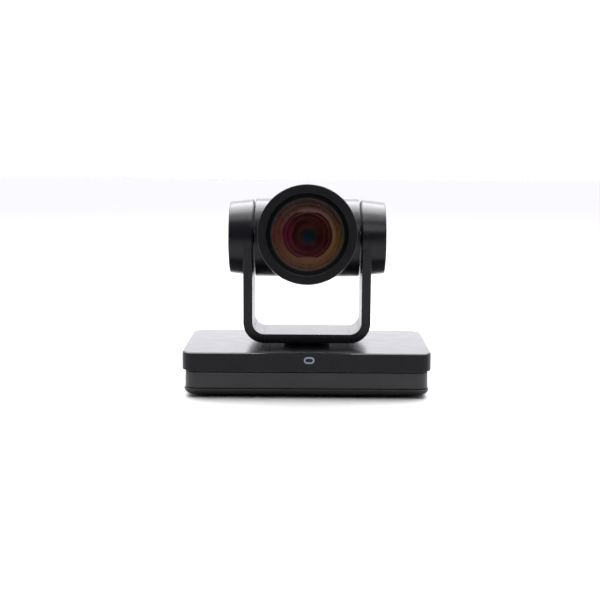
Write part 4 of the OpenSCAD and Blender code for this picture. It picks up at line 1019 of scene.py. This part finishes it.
# The baffle's opening is round, with its top and bottom cut flat
OPENING_R, OPENING_HALF, OPENING_STEPS = 25, 22.75, 160
baffle = lathe(fillet([(0, 42.1), (36.2, 42.1), (36.2, 43.3), (0, 43.3)], [0, 0.2, 0.4, 0], 3), LENS, 192)
opening = []
for lift, grow in ((41, 0.0), (42.9, 0.0), (43.31, 0.45), (44.5, 1.7)):
    ring = []
    for i in range(OPENING_STEPS):
        angle = TAU * i / OPENING_STEPS
        x, y = (OPENING_R + grow) * math.cos(angle), (OPENING_R + grow) * math.sin(angle)
        ring.append((x, max(-OPENING_HALF - grow, min(OPENING_HALF + grow, y)), lift))
    opening.append(ring)
baffle = cut(baffle, loft(opening, LENS))
piece(baffle, "front_baffle_plate", "head", baffle_reflection_paint, ["front_baffle"], 30)

# Two ears up and down and one to the side guide the zoom cell on its rods and screw
EAR, EAR_HALF, EAR_BACK, EAR_FRONT, ROD_AT = 25.4, 2.5, 29.1, 37, 23
CELL_BORE_R, ROD_HOLE_R, SCREW_HOLE_R = 15.62, 1.3, 1.55
cell = lathe(fillet([(15.5, 29), (19, 29), (19, 36.0), (26.6, 38.2), (26.6, 39.4), (22.5, 38.4), (22.4, 37.7),
                     (17.6, 36.9), (17.4, 36.2), (15.5, 35.8)],
                    [0.2, 0.3, 0, 0.2, 0.3, 0.15, 0.1, 0.15, 0.1, 0.2], 3), LENS, 160)
ears = [box((-EAR_HALF, -EAR, EAR_BACK), (EAR_HALF, EAR, EAR_FRONT), 0.5, LENS),
        box((0, -EAR_HALF, EAR_BACK), (EAR, EAR_HALF, EAR_FRONT), 0.5, LENS)]
cell = add(cell, *ears)
cell = cut(cell, rod(CELL_BORE_R, 20, 45, LENS, steps=160),
           *[rod(ROD_HOLE_R, 20, 45, LENS @ Matrix.Translation((0, y, 0)), steps=32)
             for y in (-ROD_AT, ROD_AT)],
           rod(SCREW_HOLE_R, 20, 45, LENS @ Matrix.Translation((ROD_AT, 0, 0)), steps=32))
piece(cell, "zoom_cell", "zoom_group", cell_reflection_paint, ["zoom_carriage"], 30)
piece(dome(15.45, 30, 34, 2, 0.6), "zoom_element", "zoom_group", core_reflection_paint, ["zoom_lens"], 25)

# ------------------------------------------------------------------ CAD nodes that stay as they are

FINISHES = {
    black_screw: ["bottom_screws", "yoke_screws"],
    circuit_board: ["main_board", "image_sensor"],
    aluminium: ["heat_sink", "pan_gear"],
    dark_anodised: ["pan_spindle", "left_tilt_shaft", "right_tilt_shaft"],
    sheet_steel: ["pan_plate", "yoke_bracket", "head_frame"],
    bearing_steel: ["pan_bearing_outer", "pan_bearing_inner", "tilt_bearing_outers", "tilt_bearing_inners",
                    "bearing_balls", "guide_rods"],
    brass: ["pan_pinion", "tilt_pinion", "tilt_gear"],
    dark_brass: ["zoom_screw", "focus_screw"],
    motor_paint: ["pan_motor", "tilt_motor", "lens_motors"],
    cable_rubber: ["yoke_harness"],
    lens_black: ["lens_barrel", "iris_plate", "focus_group", "iris_blade_upper", "iris_blade_lower"],
}
for material, names in FINISHES.items():
    for name in names:
        nodes[name].data.materials.clear()
        nodes[name].data.materials.append(material)

# The floor is in metres, because it doesn't pass through piece()
FLOOR_HALF, FLOOR_DEPTH, FLOOR_TONE = 6, 0.02, 0.302
floor = box((-FLOOR_HALF, -FLOOR_HALF, -FLOOR_DEPTH), (FLOOR_HALF, FLOOR_HALF, 0))
floor.name = "floor"
white, tree, surface = shader("floor_white")
surface.inputs["Base Color"].default_value = (FLOOR_TONE, FLOOR_TONE, FLOOR_TONE, 1)
surface.inputs["Roughness"].default_value = 0.6
floor.data.materials.append(white)
